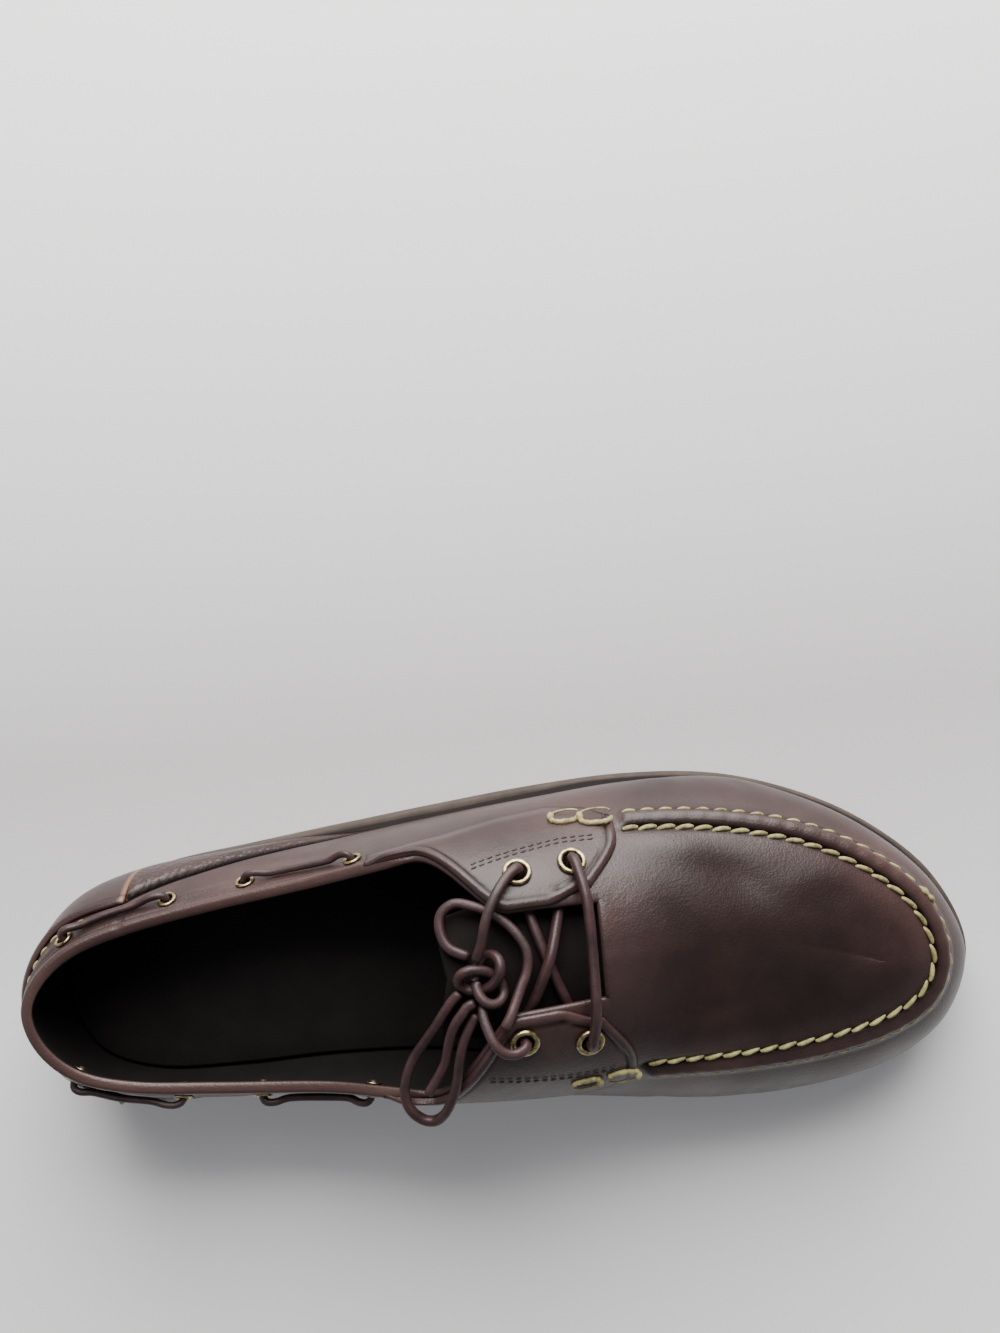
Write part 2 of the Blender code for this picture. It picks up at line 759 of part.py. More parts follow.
def cut_holes(piece, cutters):
    """Cuts each hole out of a piece of leather."""
    for cutter in cutters:
        cut = piece.modifiers.new(cutter.name, "BOOLEAN")
        cut.operation = "DIFFERENCE"
        cut.object = cutter


def thong_spots():
    """Name, turn and rise of each collar eyelet."""
    spots = []
    for number, row in enumerate(THONG_ROWS, 1):
        for side, u in (("outer", row), ("inner", TURN - row)):
            spots.append((f"{side}_{number}", u, rise_at(u, -THONG_DROP)))
    return spots


def make_eyelets(material, upper, eyestays):
    """Lace eyelets through the eyestays, collar eyelets through the collar."""
    for name, (u, v) in LACE_EYELETS.items():
        at, axis = spot(u, v, 0.0)
        leather_top = OVERLAY_GAP + OVERLAY_LEATHER
        profile = ring_profile(LACE_HOLE, LACE_FLANGE, RING_HEIGHT, leather_top)
        turned_ring("lace_eyelet_" + name, profile, LACE_RING_STEPS, at, axis, material)
        cutter = hole_cutter("hole_" + name, LACE_HOLE + RING_BARREL + FIT_GAP, at, axis)
        cut_holes(upper, [cutter])
        cut_holes(eyestays[name.split("_")[1]], [cutter])
    for name, u, v in thong_spots():
        at, axis = spot(u, v, 0.0)
        on_eyestay = min(u, TURN - u) > EYESTAY_EDGE[0][0]
        leather_top = OVERLAY_GAP + OVERLAY_LEATHER if on_eyestay else 0.0
        profile = ring_profile(THONG_HOLE, THONG_FLANGE, COLLAR_RING_HEIGHT, leather_top)
        turned_ring("collar_eyelet_" + name, profile, THONG_RING_STEPS, at, axis, material)
        cutter = hole_cutter("hole_collar_" + name, THONG_HOLE + RING_BARREL + FIT_GAP, at, axis)
        cut_holes(upper, [cutter])
        if on_eyestay:
            cut_holes(eyestays[name.split("_")[0]], [cutter])


def smooth_route(points):
    """Points read from one smooth curve through a hand-drawn route, closer where it bends."""
    points = [np.asarray(p, float) for p in points]
    padded = [2 * points[0] - points[1]] + points + [2 * points[-1] - points[-2]]
    dense = []
    for before, here, after, beyond in zip(padded, padded[1:], padded[2:], padded[3:]):
        for share in np.linspace(0, 1, 24, endpoint=False):
            dense.append(blend_rows(before, here, after, beyond, share))
    dense.append(points[-1])
    kept, bend, run = [dense[0]], 0.0, 0.0
    for before, here, after in zip(dense, dense[1:], dense[2:]):
        arriving, leaving = here - before, after - here
        cosine = arriving @ leaving / np.linalg.norm(arriving) / np.linalg.norm(leaving)
        bend += math.acos(min(1.0, cosine))
        run += np.linalg.norm(arriving)
        if bend > ROUTE_BEND or run > ROUTE_STEP:
            kept.append(here)
            bend, run = 0.0, 0.0
    if run < 1 * MM:
        kept.pop()
    kept.append(dense[-1])
    return kept


def make_cord(name, points, radius, rounding, closed, material):
    """Round cord along a route, with filled ends."""
    curve = bpy.data.curves.new(name, "CURVE")
    curve.dimensions = "3D"
    curve.bevel_depth = radius
    curve.bevel_resolution = rounding
    curve.render_resolution_u = 0
    curve.use_fill_caps = not closed
    spline = curve.splines.new("POLY")
    spline.points.add(len(points) - 1)
    for place, point in zip(spline.points, points):
        place.co = (*point, 1.0)
    spline.use_cyclic_u = closed
    return new_object(name, curve, material)


def thong_run(u_first, u_last):
    """Route of the thong outside the collar, from one eyelet to the next."""
    under = -UPPER_WALL - 2.0 * MM
    over = COLLAR_RING_HEIGHT + 3 * FIT_GAP + THONG_RADIUS
    low_over = THONG_RADIUS + 1.5 * FIT_GAP
    places = (
        (0.0, under),
        (0.0, -0.4 * UPPER_WALL),
        (0.006, 0.55 * over),
        (0.045, over),
        (0.12, over),
        (0.24, low_over),
        (0.50, low_over),
        (0.76, low_over),
        (0.88, over),
        (0.955, over),
        (0.994, 0.55 * over),
        (1.0, -0.4 * UPPER_WALL),
        (1.0, under),
    )
    route = []
    for share, out in places:
        u = u_first + (u_last - u_first) * share
        route.append(skin(u, rise_at(u, -THONG_DROP), out))
    return route


def make_thongs(material):
    """Visible runs of the collar's thong: eyelets 1 to 2 and 3 to 4 on each side."""
    turns = {name: u for name, u, v in thong_spots()}
    for side in ("outer", "inner"):
        for first, last in ((1, 2), (3, 4)):
            run = thong_run(turns[f"{side}_{first}"], turns[f"{side}_{last}"])
            route = smooth_route(run)
            make_cord(f"collar_thong_{side}_{first}", route, THONG_RADIUS, 1, False, material)


# The lace from the knot through all four eyelets and back: row, across and height
# above the instep, where the heights over and under the leather are named here.
LACE_OVER = OVERLAY_GAP + OVERLAY_LEATHER + RING_HEIGHT + 3 * FIT_GAP + LACE_RADIUS
LACE_UNDER = -UPPER_WALL - LACE_ROOM - FIT_GAP - LACE_RADIUS
LACE_ROUTE = (
    # from the knot to the back outer eyelet
    (6.49, 0.13, -1.6 * MM),
    (6.52, 0.16, -0.4 * MM),
    (6.59, 0.25, 1.6 * MM),
    (6.65, 0.36, 3.4 * MM),
    (6.76, 0.49, LACE_OVER),
    (6.89, 0.60, LACE_OVER),
    (6.99, 0.654, 0.88 * LACE_OVER),
    (6.99, 0.654, 0.0),
    (6.99, 0.654, 0.78 * LACE_UNDER),
    # under the facings to the front inner eyelet
    (7.05, 0.56, LACE_UNDER),
    (7.14, 0.30, LACE_UNDER),
    (7.26, 0.00, LACE_UNDER),
    (7.38, -0.28, LACE_UNDER),
    (7.46, -0.48, LACE_UNDER),
    (7.515, -0.56, 0.78 * LACE_UNDER),
    (7.515, -0.56, 0.0),
    (7.515, -0.56, 0.80 * LACE_OVER),
    # over the throat to the front outer eyelet
    (7.53, -0.47, LACE_OVER),
    (7.57, -0.28, LACE_OVER),
    (7.60, 0.05, 0.55 * LACE_OVER),
    (7.58, 0.38, LACE_OVER),
    (7.53, 0.60, LACE_OVER),
    (7.50, 0.693, 0.80 * LACE_OVER),
    (7.50, 0.693, 0.0),
    (7.50, 0.693, 0.78 * LACE_UNDER),
    # under the facings again, across the first run, to the back inner eyelet
    (7.44, 0.60, LACE_UNDER),
    (7.36, 0.32, LACE_UNDER + 1.6 * MM),
    (7.24, 0.05, LACE_UNDER + 4.0 * MM),
    (7.10, -0.20, LACE_UNDER + 1.8 * MM),
    (6.98, -0.38, LACE_UNDER),
    (6.92, -0.46, 0.78 * LACE_UNDER),
    (6.92, -0.46, 0.0),
    (6.92, -0.46, 0.80 * LACE_OVER),
    # back to the knot
    (6.82, -0.48, LACE_OVER),
    (6.71, -0.46, LACE_OVER),
    (6.62, -0.40, 3.8 * MM),
    (6.54, -0.28, 0.0 * MM),
    (6.53, -0.20, -2.6 * MM),
)

# Free lace, drawn by hand: from the knot on the tongue, over the inner edge of the collar
KNOT_MIDDLE = np.array((150.5, 1.0, 79.9)) * MM
KNOT_SIZE = 2.5 * MM         # the knot's lobes reach three of these
KNOT_LIFT = 1.95 * MM
LOOP_POINTS = (
    (143.0, -2.4, 78.4),
    (140.6, -4.6, 78.3),
    (138.3, -7.4, 77.8),
    (134.8, -12.0, 76.0),
    (131.0, -16.6, 73.9),
    (126.9, -21.7, 71.3),
    (124.2, -27.2, 70.4),
    (123.2, -32.8, 69.9),
    (124.6, -37.4, 69.3),
    (127.8, -40.6, 67.9),
    (131.4, -41.0, 68.0),
    (134.8, -38.2, 70.4),
    (137.6, -33.4, 72.8),
    (139.6, -28.0, 74.2),
    (141.0, -22.4, 76.0),
    (142.8, -16.8, 77.4),
    (145.2, -12.2, 78.0),
    (147.4, -8.9, 77.9),
)
END_POINTS = (
    (147.4, -5.4, 79.6),
    (145.1, -6.2, 79.8),
    (143.4, -8.2, 79.9),
    (141.2, -10.8, 79.4),
    (139.4, -14.2, 78.2),
    (138.0, -18.2, 76.4),
    (136.8, -22.2, 74.8),
    (134.8, -25.8, 73.4),
    (132.4, -29.2, 72.8),
    (130.4, -32.0, 72.8),
)
CURL_POINTS = (
    (146.4, 7.4, 77.6),
    (140.8, 10.4, 77.2),
    (138.5, 15.3, 76.2),
    (139.2, 20.0, 75.4),
    (143.3, 22.6, 75.2),
    (148.8, 21.4, 75.6),
    (153.3, 19.4, 75.8),
    (157.2, 16.6, 76.2),
    (160.8, 12.6, 76.8),
    (163.2, 7.6, 77.4),
    (162.8, 2.4, 78.0),
    (160.6, -2.3, 79.4),
    (158.8, -6.3, 81.0),
    (157.2, -9.6, 82.5),
    (155.2, -12.6, 83.1),
)


def knot_points(steps):
    """Closed route of an overhand knot lying flat, three lobes round its middle."""
    points = []
    for step in range(steps):
        t = 2 * math.pi * step / steps
        across = KNOT_SIZE * (math.sin(t) + 2 * math.sin(2 * t))
        along = KNOT_SIZE * (math.cos(t) - 2 * math.cos(2 * t))
        points.append(KNOT_MIDDLE + np.array((along, across, -KNOT_LIFT * math.sin(3 * t))))
    return points


def make_laces(material):
    """The lace: its run through the eyelets, the knot, a loop, a curl and a cut end."""
    run = smooth_route([crown_point(*stop) for stop in LACE_ROUTE])
    make_cord("lace_crossings", run, LACE_RADIUS, 1, False, material)
    make_cord("lace_knot", knot_points(30), LACE_RADIUS, 2, True, material)
    for name, points in (("lace_loop", LOOP_POINTS), ("lace_end", END_POINTS), ("lace_curl", CURL_POINTS)):
        route = smooth_route(np.array(points) * MM)
        make_cord(name, route, LACE_RADIUS, 2, False, material)


def remove_old_objects():
    for old in list(bpy.data.objects):
        bpy.data.objects.remove(old, do_unlink=True)


remove_old_objects()
CARRIER = bpy.data.objects.new("shoe_middle", None)
bpy.context.collection.objects.link(CARRIER)
CARRIER.location = (-FOOTPRINT_MIDDLE[0], -FOOTPRINT_MIDDLE[1], 0.0)

BROWN = surface("oiled_leather", (0.062, 0.041, 0.038), 0.45)
LINING = surface("dark_lining", (0.016, 0.012, 0.011), 0.8)
RUBBER = surface("olive_brown_rubber", (0.13, 0.10, 0.075), 0.75)

CUTTERS = bpy.data.collections.new("hole_cutters")
bpy.context.scene.collection.children.link(CUTTERS)
LACE_BROWN = surface("lace_leather", (0.068, 0.030, 0.028), 0.6)
BRASS = surface("antique_brass", (0.42, 0.30, 0.13), 0.35, 1.0)

make_outsole(RUBBER)
UPPER = make_upper(BROWN)
make_insole(LINING)
make_tongue(BROWN)
EYESTAYS = {
    "outer": make_eyestay("eyestay_outer", True, BROWN),
    "inner": make_eyestay("eyestay_inner", False, BROWN),
}
make_kicker(BROWN)
make_eyelets(BRASS, UPPER, EYESTAYS)
make_thongs(LACE_BROWN)
make_laces(LACE_BROWN)
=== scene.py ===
import math
from functools import lru_cache

import bpy
import numpy as np
from mathutils import Matrix


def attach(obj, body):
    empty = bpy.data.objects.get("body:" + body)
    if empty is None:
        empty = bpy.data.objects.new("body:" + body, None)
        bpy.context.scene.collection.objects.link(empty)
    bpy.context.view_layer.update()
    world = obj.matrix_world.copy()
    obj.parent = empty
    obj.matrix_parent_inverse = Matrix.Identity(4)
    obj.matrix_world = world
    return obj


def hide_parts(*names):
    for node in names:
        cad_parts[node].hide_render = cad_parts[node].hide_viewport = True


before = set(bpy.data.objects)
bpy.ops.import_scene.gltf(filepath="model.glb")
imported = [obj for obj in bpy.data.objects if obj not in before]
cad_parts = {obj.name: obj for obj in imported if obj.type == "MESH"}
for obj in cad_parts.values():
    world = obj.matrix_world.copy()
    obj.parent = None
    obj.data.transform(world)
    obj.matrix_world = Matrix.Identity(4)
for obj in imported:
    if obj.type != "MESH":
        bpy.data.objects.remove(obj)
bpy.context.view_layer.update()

MM = 0.001

# Main sizes
SOLE_LENGTH = 300 * MM
BALL_WIDTH = 104 * MM
HEEL_HEIGHT = 67 * MM
INSTEP_HEIGHT = 84 * MM
FIT_GAP = 0.3 * MM
HEEL_STACK = 23 * MM
BALL_STACK = 13.5 * MM
TOE_SPRING = 9 * MM
ARCH_RISE = 2.5 * MM
SOLE_LEDGE = 3.2 * MM
UPPER_WALL = 2.2 * MM
SIDE_BULGE = 4.5 * MM
INSOLE_THICKNESS = 3 * MM
TONGUE_THICKNESS = 2 * MM
OVERLAY_LEATHER = 1.3 * MM
OVERLAY_GAP = 0.35 * MM
LACE_HOLE = 2.7 * MM
LACE_FLANGE = 4.4 * MM
THONG_HOLE = 1.9 * MM
THONG_FLANGE = 3.0 * MM
RING_BARREL = 0.5 * MM
RING_HEIGHT = 1.0 * MM
COLLAR_RING_HEIGHT = 0.6 * MM
LACE_RADIUS = 1.45 * MM
LACE_ROOM = 1.3 * MM
THONG_RADIUS = 1.1 * MM
THONG_DROP = 7.2 * MM

# Rows from the back of the heel to the toe tip, as shares of the sole's length and ball width
SOLE_LINE = (
    # x, outer y, inner y, outer ledge, inner ledge
    (0.000, 0.005, 0.005, 0.60, 0.60),
    (0.017, 0.169, -0.159, 0.55, 0.60),
    (0.053, 0.284, -0.274, 0.45, 0.60),
    (0.120, 0.348, -0.332, 0.45, 0.60),
    (0.210, 0.383, -0.336, 0.60, 0.60),
    (0.317, 0.422, -0.327, 0.90, 0.60),
    (0.427, 0.460, -0.346, 1.05, 0.60),
    (0.540, 0.493, -0.409, 1.15, 0.60),
    (0.653, 0.509, -0.474, 1.15, 0.60),
    (0.760, 0.482, -0.491, 0.70, 0.60),
    (0.853, 0.394, -0.463, 1.00, 0.65),
    (0.923, 0.271, -0.407, 1.10, 0.75),
    (0.975, 0.113, -0.293, 1.10, 0.85),
    (1.000, -0.096, -0.096, 0.80, 0.80),
)
TOP_LINE = (
    # x, outer y, inner y, heel-height share, instep-height share, turn-in, outer and inner bulge
    (0.027, -0.018, -0.018, 1.000, 0.000, 0.00, 1.00, 1.00),
    (0.040, 0.077, -0.129, 0.985, 0.000, 0.00, 1.20, 1.00),
    (0.073, 0.153, -0.218, 0.948, 0.000, 0.00, 1.45, 1.10),
    (0.127, 0.202, -0.268, 0.903, 0.000, 0.00, 1.45, 1.30),
    (0.213, 0.248, -0.293, 0.866, 0.000, 0.00, 1.10, 1.30),
    (0.327, 0.298, -0.311, 0.881, 0.000, 0.05, 0.55, 1.20),
    (0.433, 0.351, -0.335, 0.000, 0.786, 0.35, 0.30, 1.20),
    (0.540, 0.376, -0.336, 0.000, 0.730, 0.75, 0.45, 1.30),
    (0.643, 0.380, -0.317, 0.000, 0.664, 1.00, 0.80, 1.50),
    (0.740, 0.355, -0.317, 0.000, 0.616, 1.00, 1.00, 1.60),
    (0.827, 0.291, -0.298, 0.000, 0.582, 1.00, 0.80, 1.50),
    (0.893, 0.187, -0.254, 0.000, 0.563, 1.00, 0.60, 1.10),
    (0.935, 0.067, -0.183, 0.000, 0.552, 1.00, 0.50, 0.70),
    (0.950, -0.073, -0.073, 0.000, 0.546, 1.00, 0.50, 0.50),
)
RIDGE_FIRST = 5
RIDGE_LINE = (
    # x, y, share of the instep height, crown
    (0.373, -0.010, 1.010, 0.35),
    (0.457, 0.005, 1.000, 0.35),
    (0.543, 0.025, 0.960, 0.35),
    (0.643, 0.030, 0.850, 0.42),
    (0.723, 0.030, 0.765, 0.50),
    (0.790, 0.012, 0.706, 0.55),
    (0.840, -0.025, 0.664, 0.55),
    (0.873, -0.056, 0.638, 0.55),
    (0.887, -0.073, 0.628, 0.55),
)
ROWS = len(SOLE_LINE) - 1
TURN = 2 * ROWS
THROAT_BACK = 6.0
THROAT_CORNER = 6.9
PLUG_START = 7.75
THROAT_RISE = (0.58, 0.70)
LOW_RISE, LOW_LEAN = 0.38, 0.33
HIGH_SHARE = 0.67
TURNED_DROP = 0.42
CROWN_DROP = 0.05
CURVE_STEPS = 40


def smooth(value, start, end):
    """Soft step from 0 to 1."""
    share = np.clip((value - start) / (end - start), 0.0, 1.0)
    return share * share * (3 - 2 * share)


def bump(distance, width):
    """Soft hill, 1 at its middle."""
    return math.exp(-(distance / width) ** 2)


def blend_rows(before, here, after, beyond, share):
    """Smooth curve from one row to the next."""
    linear = (after - before) * share
    square = (2 * before - 5 * here + 4 * after - beyond) * share ** 2
    cube = (3 * here - before - 3 * after + beyond) * share ** 3
    return 0.5 * (2 * here + linear + square + cube)


def closed_rows(outer, inner):
    return np.array(list(outer) + list(inner[-2:0:-1]))


def read_ring(ring, u):
    """Value of a ring at the turn u."""
    row = math.floor(u)
    picks = [ring[(row + step) % TURN] for step in (-1, 0, 1, 2)]
    return blend_rows(*picks, u - row)


def read_ridge(line, u):
    """Value of a ridge column, which the outer and inner side share."""
    w = min(u % TURN, TURN - u % TURN) - RIDGE_FIRST
    last = len(line) - 1
    row = min(int(math.floor(w)), last)
    picks = []
    for step in (-1, 0, 1, 2):
        at = max(row + step, 0)
        picks.append(line[2 * last - at] if at > last else line[at])
    return blend_rows(*picks, w - row)


def place_rings():
    """Rings of the sole, its ledge and the collar, and the ridge, about the shoe's middle."""
    sole = closed_rows(*[[(SOLE_LENGTH * r[0], BALL_WIDTH * r[k]) for r in SOLE_LINE] for k in (1, 2)])
    middle = np.array((SOLE_LENGTH / 2, (sole[:, 1].max() + sole[:, 1].min()) / 2))
    ledge = closed_rows(*[[(SOLE_LEDGE * r[k],) for r in SOLE_LINE] for k in (3, 4)])
    sides = []
    for k, bulge in ((1, 6), (2, 7)):
        side = []
        for r in TOP_LINE:
            x = SOLE_LENGTH * r[0] - middle[0]
            y = BALL_WIDTH * r[k] - middle[1]
            height = HEEL_HEIGHT * r[3] + INSTEP_HEIGHT * r[4]
            side.append((x, y, height, r[5], r[bulge]))
        sides.append(side)
    ridge = []
    for x, y, height, crown in RIDGE_LINE:
        ridge.append((SOLE_LENGTH * x - middle[0], BALL_WIDTH * y - middle[1], INSTEP_HEIGHT * height, crown))
    return sole - middle, ledge, closed_rows(*sides), np.array(ridge), middle


SOLE_RING, LEDGE_RING, TOP_RING, RIDGE_ROWS, MIDDLE = place_rings()


def share_along(x):
    return x / SOLE_LENGTH + 0.5


def toe_lift(x):
    share = np.clip((share_along(x) - 0.70) / 0.30, 0.0, None)
    return TOE_SPRING * share ** 1.8


def tread_height(x):
    share = share_along(x)
    return toe_lift(x) + ARCH_RISE * smooth(share, 0.30, 0.36) * (1 - smooth(share, 0.47, 0.54))


def sole_top(x):
    drop = smooth(share_along(x), 0.22, 0.64)
    return toe_lift(x) + HEEL_STACK + (BALL_STACK - HEEL_STACK) * drop


def outline(u, inset):
    """Point of the sole's outline, moved in by the inset, and its outward direction."""
    here = read_ring(SOLE_RING, u)
    along = read_ring(SOLE_RING, u + 0.02) - read_ring(SOLE_RING, u - 0.02)
    along = along / np.linalg.norm(along)
    outward = np.array((-along[1], along[0]))
    return here - outward * inset, outward


def bezier(points, shares):
    """Points of a curve with three or four control points."""
    rest = [np.outer(np.ones_like(shares), p) for p in points]
    while len(rest) > 1:
        rest = [a + (b - a) * shares[:, None] for a, b in zip(rest, rest[1:])]
    return rest[0]


@lru_cache(maxsize=None)
def section(u):
    """The upper's section at u: points and lengths of its side and of its top."""
    foot_xy, outward = outline(u, read_ring(LEDGE_RING, u)[0])
    out = np.array((outward[0], outward[1], 0.0))
    foot = np.array((foot_xy[0], foot_xy[1], sole_top(foot_xy[0]) + FIT_GAP))
    top = read_ring(TOP_RING, u)
    edge, turn, bulge = top[:3], min(max(top[3], 0.0), 1.0), top[4] * SIDE_BULGE
    rise = (edge - foot)[2] * np.array((0.0, 0.0, 1.0))
    lean = edge - foot - rise
    low = foot + LOW_RISE * rise + (1 - turn) * LOW_LEAN * lean + bulge * out
    high = foot + HIGH_SHARE * (rise + lean) + bulge * out
    shares = np.linspace(0, 1, CURVE_STEPS + 1)
    parts = []
    if min(u % TURN, TURN - u % TURN) >= RIDGE_FIRST:
        x, y, z, crown = read_ridge(RIDGE_ROWS, u)
        ridge = np.array((x, y, z))
        shoulder = edge + crown * (ridge - edge) * np.array((1, 1, 0))
        shoulder[2] = z - CROWN_DROP * (z - edge[2])
        parts.append(bezier((edge, shoulder, ridge), shares))
        inward = (shoulder - edge) / np.linalg.norm(shoulder - edge)
        turned = edge - inward * TURNED_DROP * rise[2]
        high = high + (turned - high) * turn
    parts.insert(0, bezier((foot, low, high, edge), shares))
    result = []
    for points in parts:
        steps = np.linalg.norm(np.diff(points, axis=0), axis=1)
        result.append((points, np.concatenate(((0.0,), np.cumsum(steps)))))
    return result


def section_point(u, v):
    part = 1 if v > 1 else 0
    points, lengths = section(round(u % TURN, 6))[part]
    at = (v - part) * lengths[-1]
    return np.array([np.interp(at, lengths, points[:, axis]) for axis in range(3)])


def side_length(u):
    return section(round(u % TURN, 6))[0][1][-1]


def top_length(u):
    return section(round(u % TURN, 6))[1][1][-1]


def rise_at(u, from_edge):
    """The rise v that lies a given length from the collar or seam, down if negative."""
    if from_edge <= 0:
        return 1 + from_edge / side_length(u)
    return 1 + from_edge / top_length(u)


def raw_normal(u, v):
    du, dv = 0.03, 0.015
    low, high = max(v - dv, 0.0), min(v + dv, 1.0 if v <= 1 else 1.985)
    if v > 1:
        low = max(low, 1.0)
    if high - low < dv:
        low = high - dv
    along_u = section_point(u + du, min(v, 1.97)) - section_point(u - du, min(v, 1.97))
    along_v = section_point(u, high) - section_point(u, low)
    normal = np.cross(along_v, along_u)
    return normal / np.linalg.norm(normal)


def normal_at(u, v):
    """Outward direction of the upper, level at the sole and shared along the ridge."""
    normal = raw_normal(u, min(v, 1.9))
    blend = 1 - abs(v - 1) / 0.05
    if blend > 0 and throat_rise(u) > 0:
        other = raw_normal(u, 1 - 0.02) + raw_normal(u, 1 + 0.02)
        other = other / np.linalg.norm(other)
        normal = normal + (other - normal) * float(smooth(blend, 0.0, 1.0))
    if v > 1.9:
        both = raw_normal(u, 1.9) + raw_normal(TURN - u, 1.9)
        normal = normal + (both / np.linalg.norm(both) - normal) * float(smooth(v, 1.9, 2.0))
    normal = normal * np.array((1, 1, float(smooth(v, -0.02, 0.2))))
    return normal / np.linalg.norm(normal)


def throat_rise(u):
    u = u % TURN
    reach = THROAT_RISE[0] if u < ROWS else THROAT_RISE[1]
    return reach * float(smooth(min(u, TURN - u), THROAT_BACK, THROAT_CORNER))


def skin(u, v, out):
    """Point at a height out above the upper's plain outer face."""
    return section_point(u, v) + normal_at(u, v) * out


def crown_point(w, across, out):
    """Point over the instep: across is 1 at the outer seam, 0 on the ridge, -1 at the inner."""
    u = w if across >= 0 else TURN - w
    return skin(u, 2 - abs(across), out)


# The camera stands where the photograph was taken: above the outer side, looking down
CAMERA_PLACE = (0.0416, 0.07147, 0.45245)
CAMERA_VIEW = np.array((-0.076, 0.0463, -0.996))
CAMERA_UP = np.array((0.094, 0.9948, 0.0391))
LENS = 35.1
LENS_FRAME = 36.0


def make_camera():
    data = bpy.data.cameras.new("camera")
    data.lens = LENS
    data.sensor_fit = "AUTO"
    data.sensor_width = LENS_FRAME
    camera = bpy.data.objects.new("camera", data)
    bpy.context.collection.objects.link(camera)
    back = -CAMERA_VIEW / np.linalg.norm(CAMERA_VIEW)
    right = np.cross(CAMERA_UP, back)
    right = right / np.linalg.norm(right)
    up = np.cross(back, right)
    turned = Matrix([right, up, back]).transposed()
    camera.matrix_world = Matrix.Translation(CAMERA_PLACE) @ turned.to_4x4()
    bpy.context.scene.camera = camera


def linear(code):
    """Linear colour of an sRGB hex code."""
    parts = [int(code[i:i + 2], 16) / 255 for i in (1, 3, 5)]
    return tuple(p / 12.92 if p <= 0.04045 else ((p + 0.055) / 1.055) ** 2.4 for p in parts)


def add_node(tree, kind, inputs=None, **settings):
    """Adds one shader node with its settings, its values and the sockets linked into it."""
    made = tree.nodes.new(kind)
    for name, value in settings.items():
        setattr(made, name, value)
    for name, value in (inputs or {}).items():
        if isinstance(value, bpy.types.NodeSocket):
            tree.links.new(value, made.inputs[name])
        else:
            made.inputs[name].default_value = value
    return made


def new_material(name, roughness, metallic=0.0):
    material = bpy.data.materials.new(name)
    material.use_nodes = True
    shader = material.node_tree.nodes["Principled BSDF"]
    shader.inputs["Roughness"].default_value = roughness
    shader.inputs["Metallic"].default_value = metallic
    return material, material.node_tree, shader


def ramp(tree, source, stops):
    """Colour ramp whose stops are a place from 0 to 1 and a hex colour."""
    made = add_node(tree, "ShaderNodeValToRGB", {"Fac": source})
    elements = made.color_ramp.elements
    while len(elements) < len(stops):
        elements.new(0.5)
    for element, (at, code) in zip(elements, stops):
        element.position = at
        element.color = (*linear(code), 1.0)
    return made.outputs["Color"]


def noise(tree, place, size, detail=3.0, roughness=0.5, distortion=0.0):
    """Noise whose soft patches are about size metres across."""
    inputs = {"Vector": place, "Scale": 1 / size, "Detail": detail}
    inputs.update({"Roughness": roughness, "Distortion": distortion})
    return add_node(tree, "ShaderNodeTexNoise", inputs).outputs["Fac"]


def cells(tree, place, size):
    """Distance from the middles of cells about size metres across."""
    inputs = {"Vector": place, "Scale": 1 / size}
    return add_node(tree, "ShaderNodeTexVoronoi", inputs, feature="F1").outputs["Distance"]


def mix_colour(tree, share, first, second, kind="MIX"):
    made = add_node(tree, "ShaderNodeMix", data_type="RGBA", blend_type=kind)
    for socket, value in ((made.inputs[0], share), (made.inputs[6], first), (made.inputs[7], second)):
        if isinstance(value, bpy.types.NodeSocket):
            tree.links.new(value, socket)
        elif isinstance(value, str):
            socket.default_value = (*linear(value), 1.0)
        else:
            socket.default_value = value
    return made.outputs[2]


def maths(tree, operation, first, second=0.0, clamp=False):
    made = add_node(tree, "ShaderNodeMath", operation=operation, use_clamp=clamp)
    for socket, value in zip(made.inputs, (first, second)):
        if isinstance(value, bpy.types.NodeSocket):
            tree.links.new(value, socket)
        else:
            socket.default_value = value
    return made.outputs[0]


def raise_by(tree, height, depth, under=None):
    """Bump whose full height is depth metres, over an earlier bump."""
    inputs = {"Height": height, "Distance": depth, "Strength": 1.0}
    if under is not None:
        inputs["Normal"] = under
    return add_node(tree, "ShaderNodeBump", inputs).outputs["Normal"]


def attribute(tree, name):
    return add_node(tree, "ShaderNodeAttribute", attribute_name=name).outputs["Fac"]


def object_place(tree):
    return add_node(tree, "ShaderNodeTexCoord").outputs["Object"]


